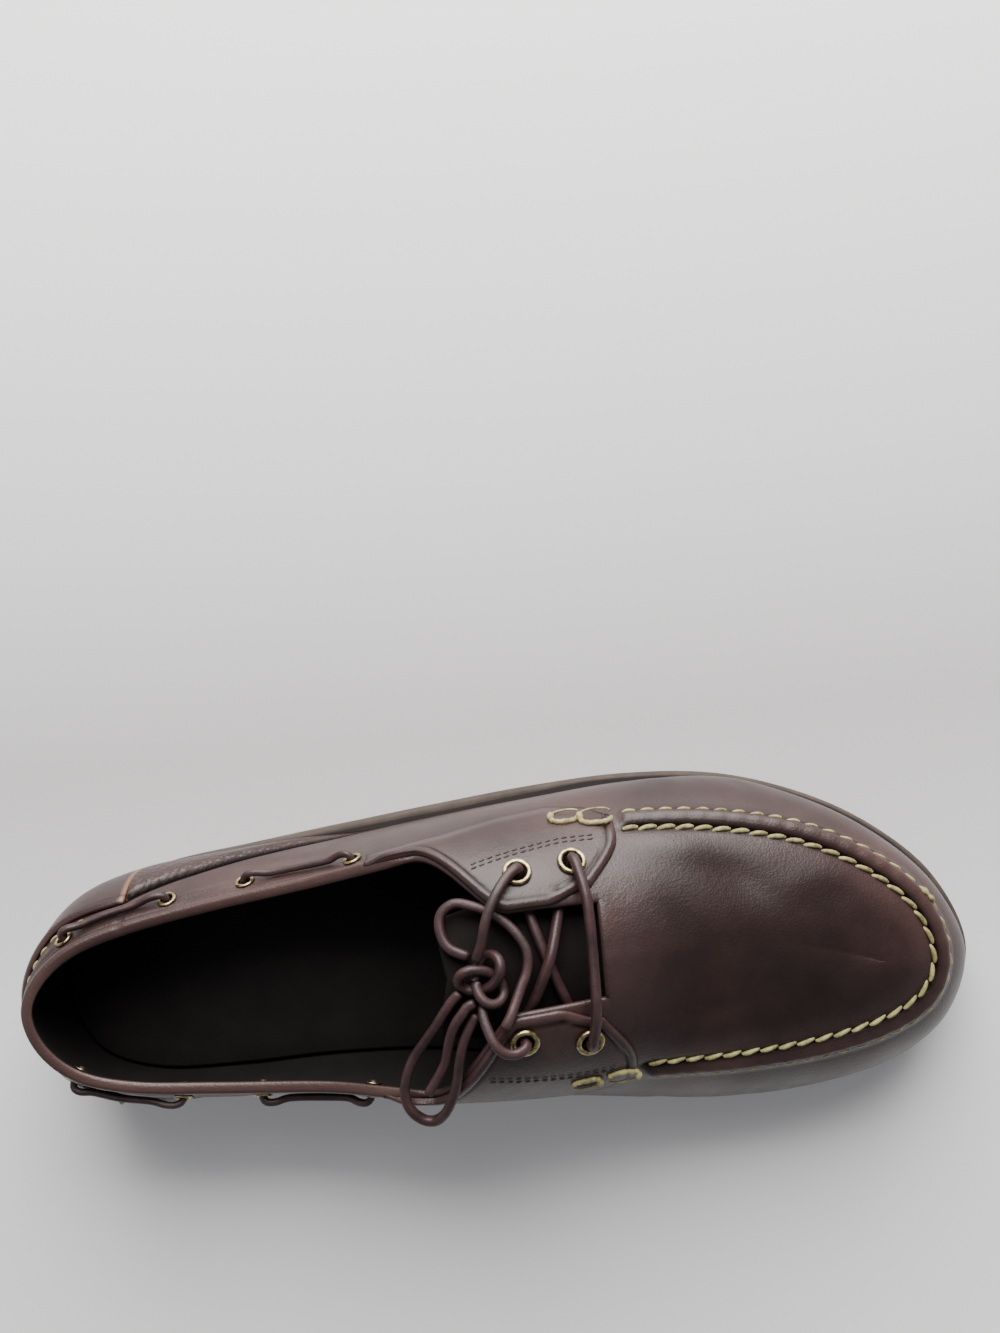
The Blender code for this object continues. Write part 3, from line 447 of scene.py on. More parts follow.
def oiled_leather(name, dark, middle, light, wear_and_highlight, raw):
    """Thick cowhide soaked in oil and wax: the colour lightens where it is pulled or rubbed, and painted
    highlight lightens it on crests and rims.

    The wax gives a low satin gloss in soft patches, and the fine grain breaks it up. Painted
    shade darkens grooves, holes, the foot of the side and the plug, and takes their gloss away.
    """
    material, tree, shader = new_material(name, 0.42)
    place = object_place(tree)
    clouds = noise(tree, place, 38 * MM, 2.0, 0.45)
    mottle = noise(tree, place, 6 * MM, 4.0, 0.6)
    share = maths(tree, "ADD", maths(tree, "MULTIPLY", clouds, 0.75), maths(tree, "MULTIPLY", mottle, 0.25))
    colour = ramp(tree, share, ((0.30, dark), (0.50, middle), (0.72, light)))
    # rubbed wear with painted highlight on the seam's crest, the collar's roll and the overlays' rims
    colour = mix_colour(tree, attribute(tree, "wear_and_highlight"), colour, wear_and_highlight)
    colour = mix_colour(tree, attribute(tree, "raw"), colour, raw)
    # dark: painted shade, mixed to near black in grooves, holes, at the side's foot and over the plug
    colour = mix_colour(tree, attribute(tree, "dark"), colour, "#070404")
    tree.links.new(colour, shader.inputs["Base Color"])
    grain = cells(tree, place, 0.75 * MM)
    pores = noise(tree, place, 0.35 * MM, 2.0)
    wrinkles = noise(tree, place, 3.2 * MM, 5.0, 0.6, 0.6)
    pebbles = cells(tree, place, 1.7 * MM)
    normal = raise_by(tree, grain, 0.05 * MM)
    normal = raise_by(tree, pores, 0.03 * MM, normal)
    normal = raise_by(tree, wrinkles, 0.10 * MM, normal)
    rough_panel = maths(tree, "MULTIPLY", pebbles, attribute(tree, "pebbled"))
    normal = raise_by(tree, rough_panel, 0.5 * MM, normal)
    tree.links.new(normal, shader.inputs["Normal"])
    gloss = maths(tree, "MULTIPLY", noise(tree, place, 14 * MM, 3.0), 0.22)
    tree.links.new(maths(tree, "ADD", gloss, 0.30), shader.inputs["Roughness"])
    # painted shade also takes the specular and the coat away
    unshaded_share = maths(tree, "SUBTRACT", 1.0, attribute(tree, "dark"), True)
    tree.links.new(maths(tree, "MULTIPLY", unshaded_share, 0.40), shader.inputs["Specular IOR Level"])
    tree.links.new(maths(tree, "MULTIPLY", unshaded_share, 0.12), shader.inputs["Coat Weight"])
    shader.inputs["Coat Roughness"].default_value = 0.30
    return material


def plain_leather(name, dark, light, roughness, size, shine=0.5):
    """Vegetable-tanned leather, matt, its tone varying in soft patches."""
    material, tree, shader = new_material(name, roughness)
    shader.inputs["Specular IOR Level"].default_value = shine
    place = object_place(tree)
    share = noise(tree, place, size, 4.0, 0.6)
    tree.links.new(ramp(tree, share, ((0.32, dark), (0.68, light))), shader.inputs["Base Color"])
    normal = raise_by(tree, noise(tree, place, 0.5 * MM, 3.0), 0.08 * MM)
    normal = raise_by(tree, noise(tree, place, 3 * MM, 3.0), 0.12 * MM, normal)
    tree.links.new(normal, shader.inputs["Normal"])
    return material


def waxed_thread(name, dark, light):
    """Waxed and twisted polyester thread, with a fine bumpy grain."""
    material, tree, shader = new_material(name, 0.5)
    place = object_place(tree)
    share = noise(tree, place, 2.2 * MM, 3.0, 0.6)
    tree.links.new(ramp(tree, share, ((0.30, dark), (0.62, light))), shader.inputs["Base Color"])
    tree.links.new(raise_by(tree, noise(tree, place, 0.35 * MM, 2.0), 0.12 * MM), shader.inputs["Normal"])
    return material


def old_brass(name):
    """Pressed brass, toned in soft patches from dark to bright."""
    material, tree, shader = new_material(name, 0.32, 1.0)
    place = object_place(tree)
    share = noise(tree, place, 1.6 * MM, 4.0, 0.6)
    colour = ramp(tree, share, ((0.30, "#5c5138"), (0.50, "#a2946c"), (0.72, "#d3c6a0")))
    tree.links.new(colour, shader.inputs["Base Color"])
    tree.links.new(raise_by(tree, noise(tree, place, 0.5 * MM, 3.0), 0.03 * MM), shader.inputs["Normal"])
    return material


SLIT_WAVE = 13 * MM
SLIT_SWING = 2.4 * MM
SLIT_PITCH = 5.5 * MM


def moulded_rubber(name, dark, light):
    """Moulded sole rubber with a fine matt skin, and painted shade in the crease under the leather.

    The tread is cut with a razor into wavy slits across the foot, so it looks finely lined; the slits'
    near-black is painted shade in the cuts.
    """
    material, tree, shader = new_material(name, 0.72)
    place = object_place(tree)
    share = noise(tree, place, 9 * MM, 5.0, 0.65)
    split = add_node(tree, "ShaderNodeSeparateXYZ", {"Vector": place}).outputs
    wave = maths(tree, "SINE", maths(tree, "MULTIPLY", split["Y"], 2 * math.pi / SLIT_WAVE))
    ahead = maths(tree, "ADD", split["X"], maths(tree, "MULTIPLY", wave, SLIT_SWING))
    lines = maths(tree, "SINE", maths(tree, "MULTIPLY", ahead, 2 * math.pi / SLIT_PITCH))
    slit = maths(tree, "MULTIPLY", maths(tree, "SUBTRACT", lines, 0.88), 9.0, True)
    slit = maths(tree, "MULTIPLY", slit, attribute(tree, "tread"))
    colour = ramp(tree, share, ((0.30, dark), (0.70, light)))
    # dark: painted shade in the crease where the leather stands on the ledge
    colour = mix_colour(tree, attribute(tree, "dark"), colour, "#170e0c")
    # painted shade in the slits
    colour = mix_colour(tree, slit, colour, "#0c0908")
    tree.links.new(colour, shader.inputs["Base Color"])
    normal = raise_by(tree, noise(tree, place, 0.4 * MM, 3.0), 0.05 * MM)
    normal = raise_by(tree, maths(tree, "SUBTRACT", 1.0, slit), 0.6 * MM, normal)
    tree.links.new(normal, shader.inputs["Normal"])
    return material


FLOOR_START = 0.2
# white with a grey band of painted shade
FLOOR_SHADE_TONES = (
    # metres across the floor from FLOOR_START behind the shoe's middle, colour
    (0.06, "#f4f4f4"),
    (0.18, "#e2e1e2"),
    (0.27, "#c3c1c1"),
    (0.36, "#dcdbdc"),
    (0.52, "#f4f4f4"),
)


def pale_floor(name):
    """Matt white board, with painted shade: a soft grey band beside the shoe."""
    material, tree, shader = new_material(name, 0.8)
    across = add_node(tree, "ShaderNodeSeparateXYZ", {"Vector": object_place(tree)}).outputs["Y"]
    share = maths(tree, "ADD", across, FLOOR_START)
    tree.links.new(ramp(tree, share, FLOOR_SHADE_TONES), shader.inputs["Base Color"])
    return material


make_camera()
BROWN = oiled_leather("oiled_brown_leather", "#221413", "#33211f", "#46312e", "#5a423e", "#846450")
# painted shade: the lining, insole and tongue get near-black colours for the shoe's shaded inside
SHADED_LINING = plain_leather("lining_leather_painted_shade", "#080605", "#110d0b", 0.88, 12 * MM, 0.25)
SHADED_TONGUE_LEATHER = plain_leather("tongue_leather_painted_shade", "#0a0605", "#150d0b", 0.85, 9 * MM, 0.2)
LACE_LEATHER = plain_leather("rawhide_lace", "#231213", "#3d2425", 0.5, 7 * MM)
CREAM_THREAD = waxed_thread("cream_thread", "#625a36", "#a59b6b")
BROWN_THREAD = waxed_thread("brown_thread", "#1c1212", "#33211f")
BRASS = old_brass("antique_brass")
RUBBER = moulded_rubber("olive_brown_rubber", "#312722", "#4b3e35")


def new_piece(name, points, faces, materials, slots=None, values=None, replaces=()):
    """Adds a mesh piece that rides on the shoe, with values for its material at each point."""
    mesh = bpy.data.meshes.new(name)
    mesh.from_pydata([tuple(float(c) for c in p) for p in points], [], faces)
    for material in materials:
        mesh.materials.append(material)
    if slots is not None:
        mesh.polygons.foreach_set("material_index", slots)
    # the dark values carry painted shade; the wear values carry rubbed wear with painted highlight
    for key in ("wear_and_highlight", "raw", "dark", "pebbled", "tread"):
        if values is not None and key in values:
            layer = mesh.attributes.new(key, "FLOAT", "POINT")
            layer.data.foreach_set("value", [float(x) for x in values[key]])
    mesh.shade_smooth()
    mesh.update()
    piece = bpy.data.objects.new(name, mesh)
    bpy.context.collection.objects.link(piece)
    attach(piece, "root")
    if replaces:
        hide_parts(*replaces)
    return piece


def shell(grid, outer, inner, round_steps=3):
    """Closed body between two skins, with a rounded strip along each free edge.

    grid holds tuples of keys, and outer and inner give each key's point. Returns the
    points, the faces, and for each point its key and its part: outer, rim or inner.
    """
    keys = list(outer)
    count = len(keys)
    index = {key: i for i, key in enumerate(keys)}
    points = [outer[key] for key in keys] + [inner[key] for key in keys]
    owners = [(key, "outer") for key in keys] + [(key, "inner") for key in keys]
    faces, parts, edges, away = [], [], {}, {}
    for cell in grid:
        cell = [key for i, key in enumerate(cell) if key != cell[i - 1]]
        if len(cell) < 3:
            continue
        faces.append([index[key] for key in cell])
        parts.append("outer")
        faces.append([count + index[key] for key in reversed(cell)])
        parts.append("inner")
        middle = sum(outer[key] for key in cell) / len(cell)
        for i, key in enumerate(cell):
            pair = frozenset((cell[i - 1], key))
            if pair in edges:
                del edges[pair]
            else:
                edges[pair] = (cell[i - 1], key, middle)
    for first, second, middle in edges.values():
        along = outer[second] - outer[first]
        along = along / np.linalg.norm(along)
        outward = (outer[first] + outer[second]) / 2 - middle
        outward = outward - along * (outward @ along)
        outward = outward / np.linalg.norm(outward)
        for key in (first, second):
            away[key] = away.get(key, 0) + outward
    chains = {}
    for key, outward in away.items():
        half = (outer[key] - inner[key]) / 2
        middle = (outer[key] + inner[key]) / 2
        reach = outward / np.linalg.norm(outward) * np.linalg.norm(half)
        chain = [index[key]]
        for step in range(1, round_steps + 1):
            angle = math.pi * step / (round_steps + 1)
            chain.append(len(points))
            points.append(middle + half * math.cos(angle) + reach * math.sin(angle))
            owners.append((key, "rim"))
        chain.append(count + index[key])
        chains[key] = chain
    for first, second, _ in edges.values():
        a, b = chains[first], chains[second]
        for i in range(len(a) - 1):
            faces.append([b[i], a[i], a[i + 1], b[i + 1]])
            parts.append("rim")
    return points, faces, owners, parts


def face_outward(points, faces):
    """Turns every face over if the body is inside out."""
    volume = 0.0
    for face in faces:
        a = points[face[0]]
        for i in range(1, len(face) - 1):
            volume += np.dot(a, np.cross(points[face[i]], points[face[i + 1]]))
    if volume < 0:
        for face in faces:
            face.reverse()


# Hand-sewn seam round the plug: the side's leather rises to a crest and drops to the plug
SEAM_START = 7.97
SEAM_FADE = 0.12
SEAM_PROFILE = (
    # millimetres from the plug's edge, height in millimetres
    (-8.0, 0.00),
    (-6.6, 0.25),
    (-5.8, 0.60),
    (-5.0, 0.80),
    (-4.3, 1.60),
    (-3.4, 1.95),
    (-2.2, 1.85),
    (-0.9, 1.45),
    (0.3, 0.70),
    (1.1, -0.35),
    (1.7, -0.30),
    (2.8, 0.00),
)
INNER_ROW = 1.15 * MM        # rows of stitches, from the plug's edge
OUTER_ROW = -5.0 * MM
STITCH_PITCH = 5.7 * MM
ROLL_HEIGHT = 0.8 * MM       # rolled edge of the collar
ROLL_WIDTH = 3.0 * MM
ROLL_END = 6.0


def seam_run():
    """Length along the plug's edge at closely spaced turns."""
    turns = np.linspace(SEAM_START, TURN - SEAM_START, 400)
    points = np.array([section_point(float(u), 1.0) for u in turns])
    steps = np.linalg.norm(np.diff(points, axis=0), axis=1)
    return turns, np.concatenate(((0.0,), np.cumsum(steps)))


SEAM_TURNS, SEAM_RUN = seam_run()
SEAM_COLUMNS = tuple(zip(*SEAM_PROFILE))

# Lower edge of the smooth quarter, over a rougher rear panel
QUARTER_EDGE = (
    (2.98, 0.716), (3.82, 0.525), (4.79, 0.25), (5.76, 0.10), (6.75, 0.03), (7.76, 0.0),
)
QUARTER_STEP = 0.5 * MM
PANEL_SWELL = 2.2 * MM       # the padded panel below the quarter, over the sole's ledge
QUARTER_FRONT = 7.76

# Heel kicker: rows of its front edges, and its top edge as a rise up the side
KICKER_OUTER, KICKER_INNER = 2.95, 2.6
KICKER_RISE = 0.66
KICKER_TIP = 0.06

# Soft folds and dents pressed in: turn, rise, length, width, height, slope
FOLDS = (
    (9.3, 1.45, 30 * MM, 13 * MM, -1.1 * MM, 0.5),
    (8.6, 1.20, 28 * MM, 11 * MM, 0.8 * MM, 0.2),
    (10.3, 1.35, 26 * MM, 12 * MM, 0.6 * MM, -0.4),
    (8.6, 1.75, 20 * MM, 8 * MM, -0.4 * MM, 1.2),
    (17.0, 1.5, 28 * MM, 9 * MM, -0.5 * MM, -0.3),
    (9.2, 0.50, 16 * MM, 6 * MM, -0.4 * MM, 1.0),
    (8.4, 0.45, 18 * MM, 6 * MM, 0.4 * MM, 0.8),
    (16.9, 0.5, 16 * MM, 6 * MM, -0.5 * MM, -1.0),
    (17.8, 0.45, 18 * MM, 6 * MM, -0.4 * MM, -0.8),
    (4.6, 0.55, 34 * MM, 7 * MM, -0.4 * MM, 0.1),
    (21.0, 0.5, 30 * MM, 8 * MM, -0.5 * MM, 0.1),
)


LACE_EYELETS = {
    "front_outer": (7.50, 1.307),
    "back_outer": (6.99, 1.346),
    "front_inner": (18.485, 1.440),
    "back_inner": (19.08, 1.540),
}
THONG_ROWS = (5.40, 4.36, 3.54, 1.90)


def thong_spots():
    spots = []
    for number, row in enumerate(THONG_ROWS, 1):
        for side, u in (("outer", row), ("inner", TURN - row)):
            spots.append((f"{side}_{number}", u, rise_at(u, -THONG_DROP)))
    return spots


def row_length(u):
    """Length of one row of turns near u."""
    return float(np.linalg.norm(read_ring(SOLE_RING, u + 0.1) - read_ring(SOLE_RING, u - 0.1))) / 0.2


def quarter_line(w):
    return float(np.interp(w, *zip(*QUARTER_EDGE)))


@lru_cache(maxsize=None)
def overhang(u):
    """How far the side bulges out past its own foot."""
    points, _ = section(round(u % TURN, 6))[0]
    _, outward = outline(u, 0.0)
    reach = points[:, :2] @ outward
    return float(reach.max() - reach[0])


def quarter_back(u):
    """Row where the quarter meets the back panel: at the front edge of the heel kicker."""
    return KICKER_OUTER if u < ROWS else KICKER_INNER


def from_edge(u, v):
    return (v - 1) * (side_length(u) if v <= 1 else top_length(u))


@lru_cache(maxsize=None)
def collar_holes():
    return [(skin(u, v, 0.0), u, v) for _, u, v in thong_spots()]


def in_collar_hole(u, v):
    """1 in the hole of a collar eyelet, 0 outside it."""
    for middle, hole_u, hole_v in collar_holes():
        if abs(u - hole_u) < 0.3 and abs(v - hole_v) < 0.15:
            beside = float(np.linalg.norm(skin(u, v, 0.0) - middle))
            return 1 - float(smooth(beside, THONG_HOLE - 0.3 * MM, THONG_HOLE + 0.5 * MM))
    return 0.0


PULL_DEPTH, PULL_WIDTH = 0.25 * MM, 0.9 * MM            # dips that the stitches pull in
ROLL_CREASE, ROLL_CREASE_WIDTH = 0.3 * MM, 0.6 * MM     # crease under the collar's roll
HOLE_DIP = 1.2 * MM
THONG_RIDGE, THONG_RIDGE_WIDTH = 0.55 * MM, 1.6 * MM    # the thong under the leather
BACK_SEAM, BACK_SEAM_WIDTH = 0.4 * MM, 0.5 * MM


def height_at(u, v):
    """Height of the finished leather over the upper's plain outer face."""
    w = min(u, TURN - u)
    edge = from_edge(u, v)
    height = 0.0
    sewn = float(smooth(w, SEAM_START, SEAM_START + SEAM_FADE))
    if sewn > 0 and -8 * MM < edge < 3 * MM:
        run = float(np.interp(u, SEAM_TURNS, SEAM_RUN))
        pull = 0.5 + 0.5 * math.cos(2 * math.pi * run / STITCH_PITCH)
        height += sewn * float(np.interp(edge / MM, *SEAM_COLUMNS)) * MM * (1 - 0.08 * pull)
        height -= sewn * PULL_DEPTH * pull * bump(edge - INNER_ROW, PULL_WIDTH)
        height -= sewn * PULL_DEPTH * pull * bump(edge - OUTER_ROW, PULL_WIDTH)
    in_collar = 1 - float(smooth(w, ROLL_END - 0.4, ROLL_END))
    if in_collar > 0:
        share = min(-edge / ROLL_WIDTH, 1.0)
        height += in_collar * ROLL_HEIGHT * math.sqrt(max(0.0, 1 - (2 * share - 1) ** 2)) ** 0.8
        height -= in_collar * ROLL_CREASE * bump(-edge - ROLL_WIDTH - 0.4 * MM, ROLL_CREASE_WIDTH)
    height -= HOLE_DIP * in_collar_hole(u, v)
    hidden = float(smooth(w, 3.5, 3.75)) * (1 - float(smooth(w, 4.15, 4.35)))
    hidden += 1 - float(smooth(w, 1.7, 1.9))
    height += THONG_RIDGE * hidden * bump(-edge - THONG_DROP, THONG_RIDGE_WIDTH)
    if v < 1 and quarter_back(u) < w < QUARTER_FRONT:
        above = (v - quarter_line(w)) * side_length(u)
        below = 1 - float(smooth(above, -0.9 * MM, 0.2 * MM))
        back = 1 - float(smooth(w, 4.6, 5.6))
        height += below * (PANEL_SWELL * back * float(smooth(-above, 1.2 * MM, 7 * MM)) - QUARTER_STEP)
    if v < 1:
        ahead = (w - quarter_back(u)) * row_length(u)
        height -= BACK_SEAM * bump(ahead, BACK_SEAM_WIDTH) * float(smooth(v, 0.66, 0.72))
    for turn, rise, length, width, tall, slope in FOLDS:
        if abs(u - turn) > 2.5 or abs(v - rise) > 1.2:
            continue
        along = (u - turn) * row_length(u)
        up = (v - rise) * side_length(u)
        angle = math.atan(slope)
        far = along * math.cos(angle) + up * math.sin(angle)
        side = up * math.cos(angle) - along * math.sin(angle)
        height += tall * bump(far, length / 2) * bump(side, width / 2)
    return height


def fine_turns(step):
    """Turns about one step apart along the sole, with the corners of the throat among them."""
    half = []
    for row in range(ROWS):
        length = np.linalg.norm(SOLE_RING[row + 1] - SOLE_RING[row])
        count = max(3, round(float(length) / step))
        half += [row + i / count for i in range(count)]
    half += [THROAT_BACK, PLUG_START]
    half = sorted(set(round(u, 4) for u in half))
    kept = [half[0]]
    for u in half[1:]:
        near = u - kept[-1] < 0.012
        if near and u in (THROAT_BACK, PLUG_START):
            kept[-1] = u
        elif not near:
            kept.append(u)
    return kept + [float(ROWS)] + [TURN - u for u in reversed(kept[1:])]


UPPER_STEP, UPPER_STEP_QUICK = 1.35 * MM, 2.5 * MM
EDGE_BAND = 8.4 * MM
EDGE_ROWS = 19
FACING_ROWS = 17
PLUG_ROWS = 14
LOW_ROWS, HIGH_ROWS = 6, 11
LINE_ROWS = (-5.6, -4.4, -3.2, -2.0, -1.2, -0.6, -0.1, 0.4, 0.9)    # millimetres from the quarter's edge
SIDE_ROWS = LOW_ROWS + len(LINE_ROWS) + HIGH_ROWS


def side_rises(u, low):
    """Rises from the sole up to low, with close rows where the quarter's edge runs."""
    w = min(u, TURN - u)
    line = min(max(quarter_line(w), 0.19), low - 0.05)
    near = [line + step * MM / side_length(u) for step in LINE_ROWS]
    below = [near[0] * k / LOW_ROWS for k in range(LOW_ROWS)]
    above = [near[-1] + (low - near[-1]) * k / (HIGH_ROWS + 1) for k in range(1, HIGH_ROWS + 1)]
    return below + near + above


def leather_tones(u, v):
    """Shares of rubbed leather with painted highlight, of painted shade and of pebbled leather at a place on
    the upper.
    """
    w = min(u, TURN - u)
    edge = from_edge(u, v)
    sewn = float(smooth(w, SEAM_START, SEAM_START + SEAM_FADE))
    in_collar = 1 - float(smooth(w, ROLL_END - 0.4, ROLL_END))
    # rubbed wear and painted highlight along the seam's crest and the collar's roll
    crest = bump(edge + 3.4 * MM, 1.6 * MM) * sewn
    rolled = in_collar * (1 - float(smooth(-edge, ROLL_WIDTH, ROLL_WIDTH + 1 * MM)))
    wear_and_highlight = 0.20 * crest + 0.22 * rolled
    # painted shade in the plug's groove, on the roll's inner slope and along both rows of holes
    dark = 0.8 * bump(edge - INNER_ROW, 1.1 * MM) * sewn
    if edge < INNER_ROW:
        dark += 0.35 * float(smooth(edge, -3.2 * MM, 0.5 * MM)) * sewn
    dark += 0.5 * bump(edge - OUTER_ROW, 0.8 * MM) * sewn
    # the shadow under the quarter's edge
    above = 1.0
    if v < 1 and quarter_back(u) < w < QUARTER_FRONT:
        above = (v - quarter_line(w)) * side_length(u)
    dark += float(smooth(above, -4.4 * MM, -2.6 * MM)) * (1 - float(smooth(above, -0.1 * MM, 0.9 * MM)))
    # painted shade at the foot of the side, over the plug and in the holes of the collar
    if v < 0.3:
        dark += 0.8 * (1 - float(smooth(v * side_length(u), 1.0 * MM, 3.0 * MM)))
    dark += 0.42 * float(smooth(edge, 3 * MM, 12 * MM)) * float(smooth(w, PLUG_START, PLUG_START + 1))
    dark += in_collar_hole(u, v)
    return wear_and_highlight, min(dark, 0.96), 1.0 if above < 0 else 0.0


def make_upper():
    """Side walls, facings and plug in one wall, with the lining as its inner face."""
    turns = fine_turns(UPPER_STEP)
    count = len(turns)
    outer, inner, columns, values = {}, {}, [], {}
    for i, u in enumerate(turns):
        w = min(u, TURN - u)
        low = rise_at(u, -EDGE_BAND)
        rises = side_rises(u, low)
        rises += [low + (1 - low) * k / EDGE_ROWS for k in range(EDGE_ROWS + 1)]
        reach = throat_rise(u)
        rises += [1 + reach * (k / FACING_ROWS) ** 1.5 for k in range(1, FACING_ROWS + 1)]
        if w >= PLUG_START:
            rises += [1 + reach + (1 - reach) * k / PLUG_ROWS for k in range(1, PLUG_ROWS + 1)]
        keys = []
        for j, v in enumerate(rises):
            key = (i, j)
            if v > 1.9999:
                key = ("ridge", min(i, count - i))
            elif reach == 0 and j > SIDE_ROWS + EDGE_ROWS:
                key = (i, SIDE_ROWS + EDGE_ROWS)
            if key not in outer:
                outer[key] = skin(u, v, height_at(u, v))
                inner[key] = skin(u, v, -UPPER_WALL)
                values[key] = (u, v)
            keys.append(key)
        columns.append(keys)
    grid = []
    for i in range(count):
        here, there = columns[i], columns[(i + 1) % count]
        for j in range(min(len(here), len(there)) - 1):
            grid.append((here[j], there[j], there[j + 1], here[j + 1]))
    points, faces, owners, parts = shell(grid, outer, inner)
    face_outward(points, faces)
    # wear with painted highlight, painted shade and pebbling for each point
    tones = [leather_tones(*values[key]) for key, _ in owners]
    wear_and_highlight, dark, pebbled = zip(*tones)
    slots = [1 if part == "inner" else 0 for part in parts]
    new_piece(
        "upper_leather", points, faces, [BROWN, SHADED_LINING], slots,
        {"wear_and_highlight": wear_and_highlight, "dark": dark, "pebbled": pebbled}, ["upper"],
    )


def border_distance(points, line):
    """Distance of each point from a line of points, read at closer steps."""
    close = [a + (b - a) * k / 4 for a, b in zip(line, line[1:]) for k in range(4)]
    close = np.array(close + [line[-1]])
    return [float(np.sqrt(((close - p) ** 2).sum(1).min())) for p in points]


SKIVED = 0.12 * MM           # leather pared thin where it is sewn down
SKIVE_RUN = 8 * MM
RIM_HEIGHT = 0.5 * MM        # rolled rim along a free edge
RIM_WIDTH = 2.3 * MM


def overlay(name, turns, across, place, free, sewn, raw, holes, replaces):
    """Leather laid over the upper, with a rolled rim along its free edges.

    free and sewn list keys in order along an edge, and raw lists cut edges that stay tan.
    A key is the number of its turn and the number of its rise.
    """
    where = {(i, j): place(t, j / across) for i, t in enumerate(turns) for j in range(across + 1)}
    keys = list(where)
    flat = {key: skin(u, v, 0.0) for key, (u, v) in where.items()}
    from_free = dict(zip(keys, border_distance([flat[k] for k in keys], [flat[k] for k in free])))
    from_sewn = dict.fromkeys(keys, 1.0)
    if sewn:
        from_sewn = dict(zip(keys, border_distance([flat[k] for k in keys], [flat[k] for k in sewn])))
    outer, inner, dark = {}, {}, {}
    for key, (u, v) in where.items():
        w = min(u, TURN - u)
        full = OVERLAY_GAP + OVERLAY_LEATHER
        height = SKIVED + (full - SKIVED) * float(smooth(from_sewn[key], 0.0, SKIVE_RUN))
        rim = 1.0 if w < KICKER_OUTER + 0.01 else float(smooth(w, ROLL_END - 0.4, ROLL_END))
        share = min(from_free[key] / RIM_WIDTH, 1.0)
        height += rim * RIM_HEIGHT * math.sqrt(max(0.0, 1 - (2 * share - 1) ** 2))
        height -= rim * 0.25 * MM * bump(from_free[key] - RIM_WIDTH - 0.3 * MM, 0.5 * MM)
        # painted shade: a dark line in the crease beyond the rolled rim and along the sewn edge, and below,
        # in the holes
        line = 0.75 * rim * bump(from_free[key] - RIM_WIDTH - 0.2 * MM, 0.4 * MM)
        line += 0.7 * bump(from_sewn[key], 0.5 * MM)
        for middle, radius in holes:
            beside = float(np.linalg.norm(flat[key] - middle))
            inside = 1 - float(smooth(beside, radius - 0.3 * MM, radius + 0.5 * MM))
            height -= 1.3 * MM * inside
            line += inside
        top = height_at(u, v) + height
        outer[key] = skin(u, v, top)
        inner[key] = skin(u, v, min(OVERLAY_GAP, top - 0.3 * MM))
        dark[key] = min(line, 0.92)
    grid = []
    for i in range(len(turns) - 1):
        for j in range(across):
            grid.append(((i, j), (i + 1, j), (i + 1, j + 1), (i, j + 1)))
    points, faces, owners, _ = shell(grid, outer, inner)
    face_outward(points, faces)
    tan = dict.fromkeys(keys, 0.0)
    for line in raw:
        for key, away in zip(keys, border_distance([flat[k] for k in keys], [flat[k] for k in line])):
            tan[key] = max(tan[key], 0.7 * bump(away, 0.5 * MM))
    values = {
        "raw": [0.0 if part == "inner" else tan[key] for key, part in owners],
        "dark": [dark[key] for key, part in owners],
        # the rolled rims: rubbed wear with painted highlight
        "wear_and_highlight": [0.15 if part == "rim" else 0.0 for key, part in owners],
    }
    return new_piece(name, points, faces, [BROWN], None, values, replaces)


EYESTAY_EDGE = (
    (5.55, 0.81), (6.30, 0.79), (6.80, 0.70), (7.25, 0.68), (7.65, 0.79), (7.95, 0.93),
)
EYESTAY_FRONT = 7.94
EYESTAY_ROUND = 0.24
EYESTAY_CORNER = 0.17


def eyestay_low(w):
    return float(np.interp(w, *zip(*EYESTAY_EDGE)))


def eyestay_place(outer_side):
    back = EYESTAY_EDGE[0][0]

    def place(share, rise):
        front = EYESTAY_FRONT - EYESTAY_ROUND * float(smooth(rise, 0.62, 1.3)) * 2
        w = back + (front - back) * share
        u = w if outer_side else TURN - w
        if rise <= 0.5:
            return u, eyestay_low(w) + (1 - eyestay_low(w)) * rise * 2
        corner = 1 - EYESTAY_CORNER * float(smooth(share, 0.80, 1.0))
        return u, 1 + throat_rise(u) * corner * (rise - 0.5) * 2

    return place


def kicker_place(u, rise):
    w = abs(u - TURN)
    top = KICKER_RISE + KICKER_TIP * float(smooth(w, 1.5, 3))
    low = 0.01
    return u % TURN, low + (top - low) * rise


def make_eyestays():
    rows, across = 84, 44
    for side in ("outer", "inner"):
        free = [(i, across) for i in range(rows + 1)] + [(rows, j) for j in range(across - 1, -1, -1)]
        sewn = [(0, j) for j in range(across, -1, -1)] + [(i, 0) for i in range(1, rows + 1)]
        holes = []
        for name, (u, v) in LACE_EYELETS.items():
            if name.endswith(side):
                holes.append((skin(u, v, 0.0), LACE_HOLE))
        overlay(
            f"eyestay_{side}_leather", [i / rows for i in range(rows + 1)], across,
            eyestay_place(side == "outer"), free, sewn, [], holes, [f"eyestay_{side}"],
        )


def make_kicker():
    rows, across = 100, 26
    turns = [TURN - KICKER_INNER + (KICKER_INNER + KICKER_OUTER) * i / rows for i in range(rows + 1)]
    top = [(i, across) for i in range(rows + 1)]
    ends = [[(i, j) for j in range(across + 1)] for i in (0, rows)]
    overlay("heel_kicker_leather", turns, across, kicker_place, top, [], ends, [], ["heel_kicker"])


TONGUE_BACK, TONGUE_FRONT = 6.15, 8.5
TONGUE_HALF = 0.62


def tongue_top(w):
    under_laces = UPPER_WALL + LACE_ROOM + 2 * LACE_RADIUS + 3 * FIT_GAP
    under_plug = UPPER_WALL + 2 * FIT_GAP
    return -under_laces + (under_laces - under_plug) * float(smooth(w, 7.6, 8.2))


